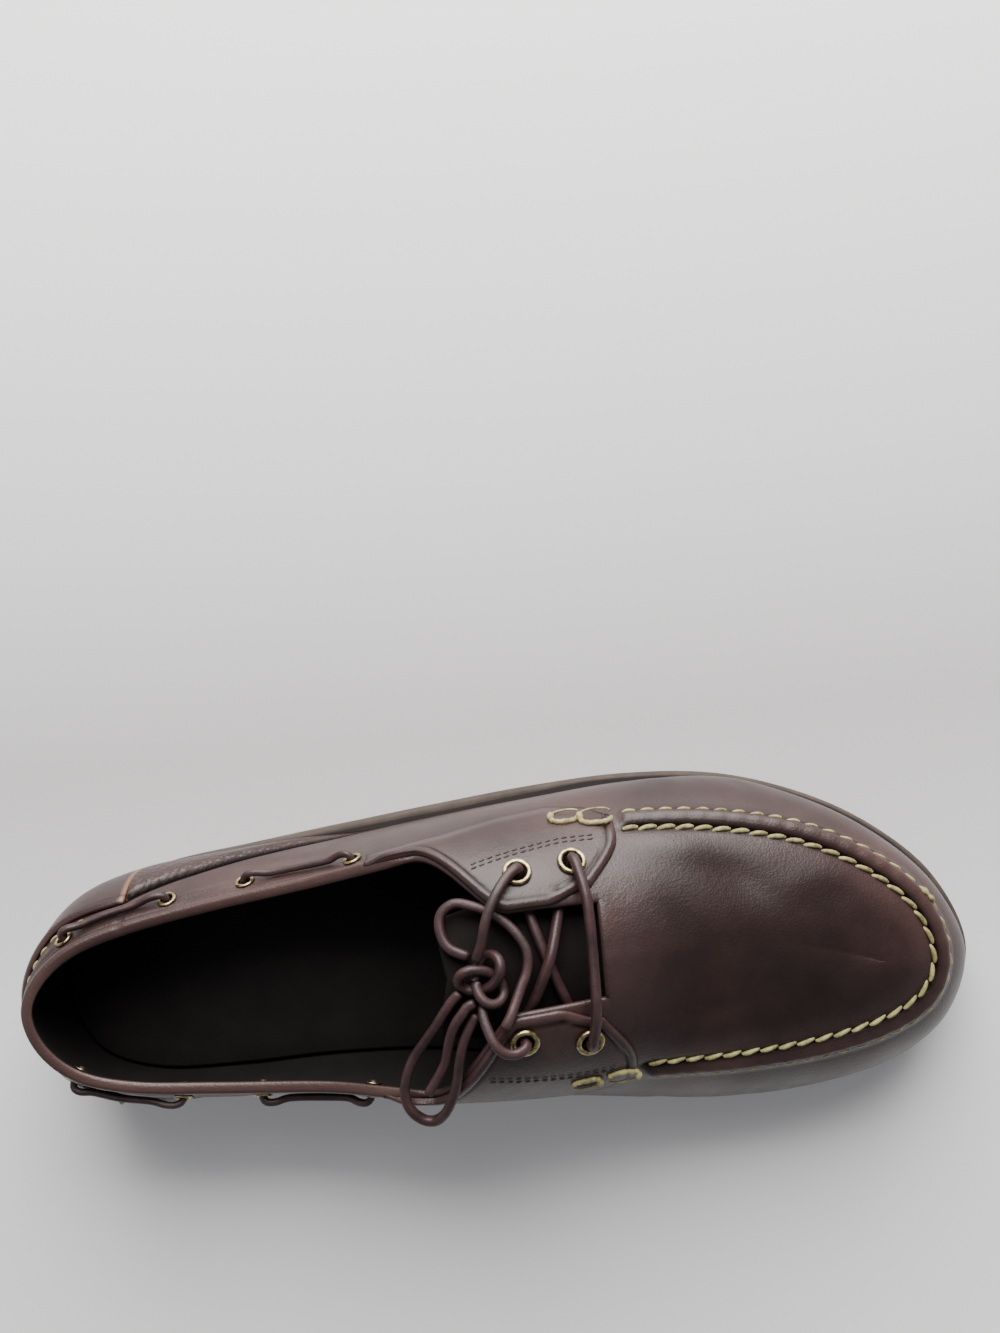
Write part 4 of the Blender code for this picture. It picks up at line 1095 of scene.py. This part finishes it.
def make_tongue():
    rows, columns = 44, 40
    outer, inner, grid = {}, {}, []
    for i in range(rows + 1):
        along = i / rows
        w = TONGUE_BACK + (TONGUE_FRONT - TONGUE_BACK) * along
        corner = 1 - 0.22 * (1 - along) ** 3
        top = tongue_top(w)
        for j in range(columns + 1):
            across = TONGUE_HALF * corner * (2 * j / columns - 1)
            outer[(i, j)] = crown_point(w, across, top)
            inner[(i, j)] = crown_point(w, across, top - TONGUE_THICKNESS)
    for i in range(rows):
        for j in range(columns):
            grid.append(((i, j), (i + 1, j), (i + 1, j + 1), (i, j + 1)))
    points, faces, _, _ = shell(grid, outer, inner)
    face_outward(points, faces)
    new_piece("tongue_leather", points, faces, [SHADED_TONGUE_LEATHER], None, None, ["tongue"])


def close_flat(points, faces, ring, pairs, across, height):
    """Closes a ring with strips from its outer side to its inner side."""
    lines = []
    for i, j in pairs:
        if i == j:
            lines.append([ring[i]] * (across + 1))
            continue
        line = [ring[i]]
        for step in range(1, across):
            point = points[ring[i]] + (points[ring[j]] - points[ring[i]]) * step / across
            line.append(len(points))
            points.append(np.array((point[0], point[1], height(point[0], step / across))))
        line.append(ring[j])
        lines.append(line)
    for first, second in zip(lines, lines[1:]):
        for a, b, c, d in zip(first, first[1:], second[1:], second):
            corners = []
            for corner in (a, b, c, d):
                if corner not in corners:
                    corners.append(corner)
            if len(corners) > 2:
                faces.append(corners)


def ring_body(turns, rings, bottom, top, across):
    """Closed body from rings of points, closed across at the bottom and the top."""
    count = len(turns)
    points, faces, index = [], [], []
    for ring in rings:
        index.append(list(range(len(points), len(points) + count)))
        points += ring
    for lower, upper in zip(index, index[1:]):
        for i in range(count):
            j = (i + 1) % count
            faces.append([lower[i], lower[j], upper[j], upper[i]])
    pairs = [(i, (count - i) % count) for i in range(count // 2 + 1)]
    close_flat(points, faces, index[0], pairs, across, bottom)
    lids = len(faces)
    close_flat(points, faces, index[-1], pairs, across, top)
    for face in faces[lids:]:
        face.reverse()
    return points, faces


SIDE_GROOVE = 0.9 * MM
TREAD_CHAMFER = 1.6 * MM
# width and fade of the painted shade in the crease on the ledge
CREASE_WIDTH = 1.3 * MM      # dark crease on the ledge, outside the leather's bulge
CREASE_FADE = 0.4 * MM


def make_outsole():
    """Rubber sole whose side has a lower band, a groove and a rounded upper bead.

    The last two rings mark the painted shade of the crease on the ledge, where the leather stands on it.
    """
    turns = fine_turns(1.6 * MM)
    levels = (
        # inset, share of the thickness, further lift
        (TREAD_CHAMFER, 0.0, 0.0),
        (0.6 * TREAD_CHAMFER, 0.0, 0.15 * TREAD_CHAMFER),
        (0.25 * TREAD_CHAMFER, 0.0, 0.5 * TREAD_CHAMFER),
        (0.05 * TREAD_CHAMFER, 0.0, TREAD_CHAMFER),
        (0.0, 0.30, 0.0),
        (0.0, 0.55, 0.0),
        (0.15 * SIDE_GROOVE, 0.585, 0.0),
        (0.85 * SIDE_GROOVE, 0.615, 0.0),
        (SIDE_GROOVE, 0.65, 0.0),
        (0.85 * SIDE_GROOVE, 0.685, 0.0),
        (0.25 * SIDE_GROOVE, 0.72, 0.0),
        (0.0, 0.77, 0.0),
        (0.0, 0.88, 0.0),
        (0.15 * SIDE_GROOVE, 0.94, 0.0),
        (0.45 * SIDE_GROOVE, 0.98, 0.0),
        (0.9 * SIDE_GROOVE, 1.0, 0.0),
    )
    rings, dark = [], []
    for inset, share, lift in levels:
        ring = []
        for u in turns:
            (x, y), _ = outline(u, inset)
            low, high = float(tread_height(x)), float(sole_top(x))
            ring.append(np.array((x, y, low + share * (high - low) + lift)))
        rings.append(ring)
        dark += [0.0] * len(ring)
    for further, crease_shade in ((0.0, 0.0), (CREASE_FADE, 1.0)):
        ring = []
        for u in turns:
            ledge = float(read_ring(LEDGE_RING, u)[0])
            inset = max(ledge - overhang(u) - CREASE_WIDTH, 1.1 * MM) + further
            (x, y), _ = outline(u, inset)
            ring.append(np.array((x, y, float(sole_top(x)))))
        rings.append(ring)
        dark += [crease_shade] * len(ring)
    points, faces = ring_body(
        turns, rings, lambda x, s: float(tread_height(x)), lambda x, s: float(sole_top(x)), 8
    )
    face_outward(points, faces)
    dark += [0.0] * (len(points) - len(dark))
    first, last = len(turns), len(turns) * len(rings)
    tread = []
    for i, point in enumerate(points):
        underneath = i < first or (i >= last and point[2] < 0.5 * BALL_STACK)
        tread.append(1.0 if underneath else 0.0)
    new_piece(
        "outsole_rubber", points, faces, [RUBBER], None, {"dark": dark, "tread": tread},
        ["outsole"],
    )


def make_insole():
    """Leather sock on the footbed, with its edge rolled down to the lining."""
    turns = fine_turns(2.2 * MM)
    steps = ((0.0, 0.0), (0.0, 0.75), (0.3, 0.92), (0.9, 1.0))
    rings = []
    for inset, share in steps:
        ring = []
        for u in turns:
            total = read_ring(LEDGE_RING, u)[0] + UPPER_WALL + 2 * FIT_GAP + inset * MM
            (x, y), _ = outline(u, total)
            ring.append(np.array((x, y, float(sole_top(x)) + FIT_GAP + share * INSOLE_THICKNESS)))
        rings.append(ring)
    points, faces = ring_body(
        turns, rings, lambda x, s: float(sole_top(x)) + FIT_GAP,
        lambda x, s: float(sole_top(x)) + FIT_GAP + INSOLE_THICKNESS, 10,
    )
    face_outward(points, faces)
    new_piece("insole_leather", points, faces, [SHADED_LINING], None, None, ["insole"])


def turned_ring(name, profile, steps, at, axis, node_name):
    helper = np.array((0.0, 0.0, 1.0)) if abs(axis[2]) < 0.9 else np.array((1.0, 0.0, 0.0))
    side = np.cross(helper, axis)
    side = side / np.linalg.norm(side)
    front = np.cross(axis, side)
    points, faces, size = [], [], len(profile)
    for step in range(steps):
        angle = 2 * math.pi * step / steps
        ray = side * math.cos(angle) + front * math.sin(angle)
        points += [at + ray * r + axis * z for r, z in profile]
    for step in range(steps):
        here, there = step * size, (step + 1) % steps * size
        for i in range(size):
            faces.append([here + i - 1 if i else here + size - 1, there + i - 1 if i else there + size - 1,
                          there + i, here + i])
    face_outward(points, faces)
    new_piece(name, points, faces, [BRASS], None, None, [node_name])


def ring_profile(hole, flange, height, above):
    """Section of a pressed eyelet with a rolled rim."""
    barrel = hole + RING_BARREL
    rim = above + FIT_GAP
    foot = -UPPER_WALL - 3 * FIT_GAP
    profile = []
    middle, half = (hole + flange) / 2, (flange - hole) / 2
    for step in range(9):
        angle = math.pi * (1 - step / 8)
        lifted = 0.1 * MM + (height - 0.1 * MM) * math.sin(angle) ** 0.8
        profile.append((middle + half * math.cos(angle), rim + lifted))
    profile += [(flange, rim), (barrel, rim), (barrel, foot), (0.5 * (barrel + flange), foot)]
    profile += [(0.5 * (barrel + flange), foot - 0.6 * height), (hole, foot - 0.6 * height)]
    return profile


def make_eyelets():
    leather_top = OVERLAY_GAP + OVERLAY_LEATHER
    for name, (u, v) in LACE_EYELETS.items():
        profile = ring_profile(LACE_HOLE, LACE_FLANGE, RING_HEIGHT, leather_top)
        at, axis = skin(u, v, 0.0), normal_at(u, v)
        turned_ring("ring_" + name, profile, 40, at, axis, "lace_eyelet_" + name)
    for name, u, v in thong_spots():
        profile = ring_profile(THONG_HOLE, THONG_FLANGE, COLLAR_RING_HEIGHT, 0.0)
        at, axis = skin(u, v, 0.0), normal_at(u, v)
        turned_ring("ring_collar_" + name, profile, 32, at, axis, "collar_eyelet_" + name)


def dense_route(points, step):
    """Points a step apart along one smooth curve through a given route."""
    points = [np.asarray(p, float) for p in points]
    padded = [2 * points[0] - points[1]] + points + [2 * points[-1] - points[-2]]
    dense = []
    for before, here, after, beyond in zip(padded, padded[1:], padded[2:], padded[3:]):
        for share in np.linspace(0, 1, 24, endpoint=False):
            dense.append(blend_rows(before, here, after, beyond, share))
    dense = np.array(dense + [points[-1]])
    lengths = np.concatenate(((0.0,), np.cumsum(np.linalg.norm(np.diff(dense, axis=0), axis=1))))
    count = max(4, round(lengths[-1] / step))
    at = np.linspace(0, lengths[-1], count + 1)
    return np.array([[np.interp(a, lengths, dense[:, k]) for k in range(3)] for a in at])


def sweep(name, route, radius, squareness, sides, material, replaces, closed=False, swell=None):
    """Cord along a route. Its section goes from round, 2, to square as the squareness grows.

    swell gives the share of the radius at each point of the route.
    """
    count = len(route)
    points, faces = [], []
    tangents = []
    for i in range(count):
        if closed:
            tangent = route[(i + 1) % count] - route[i - 1]
        else:
            tangent = route[min(i + 1, count - 1)] - route[max(i - 1, 0)]
        tangents.append(tangent / np.linalg.norm(tangent))
    side = np.cross(tangents[0], (0.0, 0.0, 1.0))
    if np.linalg.norm(side) < 0.2:
        side = np.cross(tangents[0], (1.0, 0.0, 0.0))
    side = side / np.linalg.norm(side)
    frames = []
    for tangent in tangents:
        side = side - tangent * (side @ tangent)
        side = side / np.linalg.norm(side)
        frames.append((side, np.cross(tangent, side)))
    rounding = list(swell) if swell else [1.0] * count
    if not closed:
        rounding[0] *= 0.8
        rounding[-1] *= 0.8
    for i in range(count):
        a, b = frames[i]
        for k in range(sides):
            angle = 2 * math.pi * k / sides + 0.3
            c, s = math.cos(angle), math.sin(angle)
            reach = radius * rounding[i] / (abs(c) ** squareness + abs(s) ** squareness) ** (1 / squareness)
            points.append(route[i] + a * reach * c + b * reach * s)
    last = count if closed else count - 1
    for i in range(last):
        here, there = i * sides, (i + 1) % count * sides
        for k in range(sides):
            j = (k + 1) % sides
            faces.append([here + k, here + j, there + j, there + k])
    if not closed:
        faces.append(list(range(sides))[::-1])
        faces.append(list(range((count - 1) * sides, count * sides)))
    face_outward(points, faces)
    return new_piece(name, points, faces, [material], None, None, replaces)


# The lace from the knot through all four eyelets and back: row, across and height
LACE_OVER = OVERLAY_GAP + OVERLAY_LEATHER + RING_HEIGHT + 3 * FIT_GAP + LACE_RADIUS
LACE_UNDER = -UPPER_WALL - LACE_ROOM - FIT_GAP - LACE_RADIUS
LACE_ROUTE = (
    # from the knot to the back outer eyelet
    (6.49, 0.13, -1.6 * MM),
    (6.52, 0.16, -0.4 * MM),
    (6.59, 0.25, 1.6 * MM),
    (6.65, 0.36, 3.4 * MM),
    (6.76, 0.49, LACE_OVER),
    (6.89, 0.60, LACE_OVER),
    (6.99, 0.654, 0.88 * LACE_OVER),
    (6.99, 0.654, 0.0),
    (6.99, 0.654, 0.78 * LACE_UNDER),
    (7.05, 0.56, LACE_UNDER),
    (7.14, 0.30, LACE_UNDER),
    (7.26, 0.00, LACE_UNDER),
    (7.38, -0.28, LACE_UNDER),
    (7.46, -0.48, LACE_UNDER),
    (7.515, -0.56, 0.78 * LACE_UNDER),
    (7.515, -0.56, 0.0),
    (7.515, -0.56, 0.80 * LACE_OVER),
    (7.53, -0.47, LACE_OVER),
    (7.57, -0.28, LACE_OVER),
    (7.60, 0.05, 0.55 * LACE_OVER),
    (7.58, 0.38, LACE_OVER),
    (7.53, 0.60, LACE_OVER),
    (7.50, 0.693, 0.80 * LACE_OVER),
    (7.50, 0.693, 0.0),
    (7.50, 0.693, 0.78 * LACE_UNDER),
    (7.44, 0.60, LACE_UNDER),
    (7.36, 0.32, LACE_UNDER + 1.6 * MM),
    (7.24, 0.05, LACE_UNDER + 4.0 * MM),
    (7.10, -0.20, LACE_UNDER + 1.8 * MM),
    (6.98, -0.38, LACE_UNDER),
    (6.92, -0.46, 0.78 * LACE_UNDER),
    (6.92, -0.46, 0.0),
    (6.92, -0.46, 0.80 * LACE_OVER),
    # back to the knot
    (6.82, -0.48, LACE_OVER),
    (6.71, -0.46, LACE_OVER),
    (6.62, -0.40, 3.8 * MM),
    (6.54, -0.28, 0.0 * MM),
    (6.53, -0.20, -2.6 * MM),
)

# Free lace, drawn in millimetres from the back of the heel
KNOT_MIDDLE = np.array((150.5, 1.0, 79.9))
KNOT_SIZE = 2.5
KNOT_LIFT = 1.95
LOOP_POINTS = (
    (143.0, -2.4, 78.4),
    (140.6, -4.6, 78.3),
    (138.3, -7.4, 77.8),
    (134.8, -12.0, 76.0),
    (131.0, -16.6, 73.9),
    (126.9, -21.7, 71.3),
    (124.2, -27.2, 70.4),
    (123.2, -32.8, 69.9),
    (124.6, -37.4, 69.3),
    (127.8, -40.6, 67.9),
    (131.4, -41.0, 68.0),
    (134.8, -38.2, 70.4),
    (137.6, -33.4, 72.8),
    (139.6, -28.0, 74.2),
    (141.0, -22.4, 76.0),
    (142.8, -16.8, 77.4),
    (145.2, -12.2, 78.0),
    (147.4, -8.9, 77.9),
)
END_POINTS = (
    (147.4, -5.4, 79.6),
    (145.1, -6.2, 79.8),
    (143.4, -8.2, 79.9),
    (141.2, -10.8, 79.4),
    (139.4, -14.2, 78.2),
    (138.0, -18.2, 76.4),
    (136.8, -22.2, 74.8),
    (134.8, -25.8, 73.4),
    (132.4, -29.2, 72.8),
    (130.4, -32.0, 72.8),
)
CURL_POINTS = (
    (146.4, 7.4, 77.6),
    (140.8, 10.4, 77.2),
    (138.5, 15.3, 76.2),
    (139.2, 20.0, 75.4),
    (143.3, 22.6, 75.2),
    (148.8, 21.4, 75.6),
    (153.3, 19.4, 75.8),
    (157.2, 16.6, 76.2),
    (160.8, 12.6, 76.8),
    (163.2, 7.6, 77.4),
    (162.8, 2.4, 78.0),
    (160.6, -2.3, 79.4),
    (158.8, -6.3, 81.0),
    (157.2, -9.6, 82.5),
    (155.2, -12.6, 83.1),
)


def about_middle(points):
    """Points in millimetres from the back of the heel, moved to the shoe's middle in metres."""
    return [np.array(p) * MM - np.array((*MIDDLE, 0.0)) for p in points]


def knot_route(steps):
    points = []
    for step in range(steps):
        t = 2 * math.pi * step / steps
        across = KNOT_SIZE * (math.sin(t) + 2 * math.sin(2 * t))
        along = KNOT_SIZE * (math.cos(t) - 2 * math.cos(2 * t))
        points.append(KNOT_MIDDLE + np.array((along, across, -KNOT_LIFT * math.sin(3 * t))))
    return np.array(about_middle(points))


CORD_STEP = 0.9 * MM
CORD_SQUARENESS, KNOT_SQUARENESS = 3.2, 2.6
LACE_SIDES, THONG_SIDES, THREAD_SIDES = 14, 12, 9


def make_laces():
    """The lace, run through its eyelets, with its knot, a loop, a curl and a cut end."""
    run = dense_route([crown_point(*stop) for stop in LACE_ROUTE], CORD_STEP)
    sweep(
        "lace_through_eyelets", run, LACE_RADIUS, CORD_SQUARENESS, LACE_SIDES, LACE_LEATHER,
        ["lace_crossings"],
    )
    knot = sweep(
        "knot_of_lace", knot_route(110), LACE_RADIUS, KNOT_SQUARENESS, LACE_SIDES, LACE_LEATHER,
        ["lace_knot"], True,
    )
    for name, points, node_name, far_end, pieces in (
        ("loop_of_lace", LOOP_POINTS, "lace_loop", "knot", [knot]),
        ("end_of_lace", END_POINTS, "lace_end", "bare", []),
        ("curl_of_lace", CURL_POINTS, "lace_curl", "bare", []),
    ):
        route = dense_route(about_middle(points), CORD_STEP)
        piece = sweep(
            name, route, LACE_RADIUS, CORD_SQUARENESS, LACE_SIDES, LACE_LEATHER, [node_name],
        )


def thong_run(u_first, u_last):
    """Route of the thong outside the collar, from one eyelet to the next."""
    under = -UPPER_WALL - 2.0 * MM
    over = COLLAR_RING_HEIGHT + 3 * FIT_GAP + THONG_RADIUS
    low_over = THONG_RADIUS + 1.5 * FIT_GAP
    places = (
        (0.0, under),
        (0.0, -0.4 * UPPER_WALL),
        (0.006, 0.55 * over),
        (0.045, over),
        (0.12, over),
        (0.24, low_over),
        (0.50, low_over),
        (0.76, low_over),
        (0.88, over),
        (0.955, over),
        (0.994, 0.55 * over),
        (1.0, -0.4 * UPPER_WALL),
        (1.0, under),
    )
    route = []
    for share, out in places:
        u = u_first + (u_last - u_first) * share
        route.append(skin(u, rise_at(u, -THONG_DROP), out))
    return route


def make_thongs():
    turns = {name: u for name, u, _ in thong_spots()}
    for side in ("outer", "inner"):
        for first, last in ((1, 2), (3, 4)):
            route = dense_route(thong_run(turns[f"{side}_{first}"], turns[f"{side}_{last}"]), CORD_STEP)
            sweep(
                f"thong_{side}_{first}", route, THONG_RADIUS, CORD_SQUARENESS, THONG_SIDES, LACE_LEATHER,
                [f"collar_thong_{side}_{first}"],
            )


def stitches(name, route, normals, pitch, length, width, lift, slant, material):
    """Row of stitches along a route: each rises from one hole and dips into the next."""
    lengths = np.concatenate(((0.0,), np.cumsum(np.linalg.norm(np.diff(route, axis=0), axis=1))))
    count = int(lengths[-1] / pitch)
    rings, sides = 8, 7
    points, faces = [], []

    def read(table, at):
        return np.array([np.interp(at, lengths, table[:, k]) for k in range(3)])

    for number in range(count):
        start = (number + 0.5) * pitch - length / 2
        base = len(points)
        for i in range(rings):
            t = i / (rings - 1)
            at = start + length * t
            up = read(normals, at)
            up = up / np.linalg.norm(up)
            along = read(route, at + 0.2 * MM) - read(route, at - 0.2 * MM)
            along = along / np.linalg.norm(along)
            across = np.cross(up, along)
            arch = math.sin(math.pi * min(max(t, 0.0), 1.0))
            middle = read(route, at) + up * (lift * arch ** 0.6 - 0.35 * width) + across * slant * (t - 0.5)
            radius = width / 2 * (0.35 + 0.65 * arch ** 0.45)
            for k in range(sides):
                angle = 2 * math.pi * k / sides
                points.append(middle + radius * (across * math.cos(angle) + up * math.sin(angle)))
        for i in range(rings - 1):
            here, there = base + i * sides, base + (i + 1) * sides
            for k in range(sides):
                j = (k + 1) % sides
                faces.append([here + k, there + k, there + j, here + j])
        faces.append([base + k for k in range(sides)])
        faces.append([base + (rings - 1) * sides + k for k in reversed(range(sides))])
    face_outward(points, faces)
    return new_piece(name, points, faces, [material], None, None)


def surface_route(stops, out):
    """Dense route over the leather through stops of turn and rise, with its normals."""
    dense = []
    for (u0, v0), (u1, v1) in zip(stops, stops[1:]):
        count = max(2, int(abs(u1 - u0) / 0.04), int(abs(v1 - v0) / 0.02))
        dense += [(u0 + (u1 - u0) * k / count, v0 + (v1 - v0) * k / count) for k in range(count)]
    dense.append(stops[-1])
    route = np.array([skin(u, v, height_at(u, v) + out) for u, v in dense])
    normals = np.array([normal_at(u, v) for u, v in dense])
    return route, normals


def beside(u, v, along, up, out):
    """Point a length along the shoe and a length up from a place on the leather."""
    per_turn = np.linalg.norm(section_point(u + 0.05, v) - section_point(u - 0.05, v)) / 0.1
    per_rise = np.linalg.norm(section_point(u, v) - section_point(u, v - 0.05)) / 0.05
    return skin(u + along / per_turn, v + up / per_rise, out)


# turn and rise along the rows of brown thread on the eyestays
TONAL_ROW = ((6.55, 1.225), (6.84, 1.18), (7.41, 1.105), (7.78, 1.10))

# Waxed thread wound into two open links at the front of each eyestay, where the plug's rows end
TACKS = (
    # side, turn, rise, long and short radius in millimetres
    ("outer", 7.47, 0.905, 4.3, 2.7),
    ("outer", 7.77, 0.935, 4.9, 3.0),
    ("inner", 18.56, 1.000, 4.1, 2.6),
    ("inner", 18.20, 1.000, 4.6, 2.8),
)
THREAD_RADIUS = 0.70 * MM
LINK_STEPS = 72
THREAD_KNOT = (11.98, 8.0 * MM, 1.1)      # turn, length and swelling


def boxed(value):
    """Sine or cosine drawn out towards its ends."""
    return math.copysign(abs(value) ** 0.75, value)


def make_tacks():
    """Each link: a thin arc on the sole side, a knot at its back, a thick ply on the throat side."""
    top = OVERLAY_GAP + OVERLAY_LEATHER + 0.6 * THREAD_RADIUS
    for number, (side, u, v, long_half, short_half) in enumerate(TACKS, 1):
        route, swell = [], []
        for step in range(LINK_STEPS + 1):
            angle = -0.45 - (2 * math.pi - 0.65) * step / LINK_STEPS
            ply = float(smooth(math.sin(angle), -0.1, 0.6))
            knot = bump(angle + math.pi, 0.34)
            ahead = long_half * boxed(math.cos(angle)) * MM
            up = short_half * boxed(math.sin(angle)) * MM
            route.append(beside(u, v, ahead, up, top + 0.5 * knot * MM))
            swell.append(0.46 + ply * (0.72 + 0.12 * math.sin(13 * angle)) + 1.15 * knot)
        sweep(
            f"tack_{side}_{number}", np.array(route), THREAD_RADIUS, 2.0, THREAD_SIDES, CREAM_THREAD,
            [], False, swell,
        )


def make_thread_knot():
    """Where the outer row's thread was tied off."""
    u, run, thick = THREAD_KNOT
    route, swell = [], []
    for step in range(25):
        share = step / 24
        at = u + (share - 0.5) * run / row_length(u)
        v = rise_at(at, OUTER_ROW + 0.8 * MM * math.sin(math.pi * share))
        knot = bump(share - 0.25, 0.16) + 0.8 * bump(share - 0.72, 0.16)
        route.append(skin(at, v, height_at(at, v) + 0.7 * MM * math.sin(math.pi * share)))
        swell.append(0.5 + thick * knot)
    sweep(
        "thread_knot", np.array(route), THREAD_RADIUS, 2.0, THREAD_SIDES, CREAM_THREAD,
        [], False, swell,
    )


SEAM_ROWS = (
    # name, from the plug's edge, length, width, lift and slant in millimetres
    ("plug_inner_stitches", INNER_ROW, 7.0, 1.6, 1.05, 1.5),
    ("plug_outer_stitches", OUTER_ROW, 5.0, 1.0, 0.60, 0.7),
)
KICKER_ROW = 2.4 * MM        # stitches above the kicker's top edge
KICKER_MARGIN = 0.12


def make_stitching():
    first, last = SEAM_START + 0.04, TURN - SEAM_START - 0.04
    for name, row, length, width, lift, slant in SEAM_ROWS:
        turns = np.linspace(first, last, 300)
        stops = [(float(u), rise_at(float(u), row)) for u in turns]
        route = np.array([skin(u, v, height_at(u, v)) for u, v in stops])
        normals = np.array([normal_at(u, v) for u, v in stops])
        stitches(
            name, route, normals, STITCH_PITCH, length * MM, width * MM, lift * MM, slant * MM,
            CREAM_THREAD,
        )
    count = 120
    start = TURN - KICKER_INNER + KICKER_MARGIN
    sewn = KICKER_INNER + KICKER_OUTER - 2 * KICKER_MARGIN
    stops = []
    for i in range(count + 1):
        u, v = kicker_place(start + sewn * i / count, 1.0)
        stops.append((u, v + KICKER_ROW / side_length(u)))
    route = np.array([skin(u, v, height_at(u, v)) for u, v in stops])
    normals = np.array([normal_at(u, v) for u, v in stops])
    stitches(
        "kicker_stitches", route, normals, 5.0 * MM, 3.6 * MM, 0.9 * MM, 0.5 * MM, 0.3 * MM,
        CREAM_THREAD,
    )
    for side in ("outer", "inner"):
        for number, shift in enumerate((0.0, 0.035), 1):
            stops = [(w if side == "outer" else TURN - w, v + shift) for w, v in TONAL_ROW]
            route, normals = surface_route(stops, OVERLAY_GAP + OVERLAY_LEATHER)
            stitches(
                f"tonal_stitches_{side}_{number}", route, normals, 2.6 * MM, 2.1 * MM, 0.65 * MM,
                0.25 * MM, 0.2 * MM, BROWN_THREAD,
            )


FLOOR_HALF = 2.0


def make_floor():
    """Board that the shoe stands on."""
    corners = [(x * FLOOR_HALF, y * FLOOR_HALF, 0) for x, y in ((-1, -1), (1, -1), (1, 1), (-1, 1))]
    mesh = bpy.data.meshes.new("floor")
    mesh.from_pydata(corners, [], [(0, 1, 2, 3)])
    mesh.materials.append(pale_floor("pale_floor"))
    floor = bpy.data.objects.new("floor", mesh)
    bpy.context.collection.objects.link(floor)


ROOM_COLOUR = "#eef0f4"
ROOM_STRENGTH = 0.25
LIGHTS = (
    # name, place, width, watts, colour
    ("window", (0.12, 1.0, 0.66), 1.1, 44.0, "#fffdfa"),
    ("skylight", (-0.02, 0.62, 1.0), 0.4, 2.0, "#ffffff"),
    ("fill", (0.75, -0.45, 0.9), 1.2, 1.2, "#f4f6ff"),
    ("back", (-0.9, -0.1, 0.6), 0.8, 1.2, "#ffffff"),
)


def make_lights():
    """A window behind the outer side, with weak light from above and from the room."""
    for name, place, width, watts, colour in LIGHTS:
        data = bpy.data.lights.new(name, "AREA")
        data.size = width
        data.energy = watts
        data.color = linear(colour)
        light = bpy.data.objects.new(name, data)
        bpy.context.collection.objects.link(light)
        back = np.array(place) / np.linalg.norm(place)
        right = np.cross((0.0, 0.0, 1.0), back)
        right = right / np.linalg.norm(right)
        up = np.cross(back, right)
        light.matrix_world = Matrix.Translation(place) @ Matrix([right, up, back]).transposed().to_4x4()
    world = bpy.data.worlds.new("room")
    world.use_nodes = True
    backdrop = world.node_tree.nodes["Background"]
    backdrop.inputs["Color"].default_value = (*linear(ROOM_COLOUR), 1.0)
    backdrop.inputs["Strength"].default_value = ROOM_STRENGTH
    bpy.context.scene.world = world


make_laces()
make_upper()
make_eyestays()
make_kicker()
make_tongue()
make_outsole()
make_insole()
make_eyelets()
make_thongs()
make_stitching()
make_tacks()
make_thread_knot()
make_floor()
make_lights()
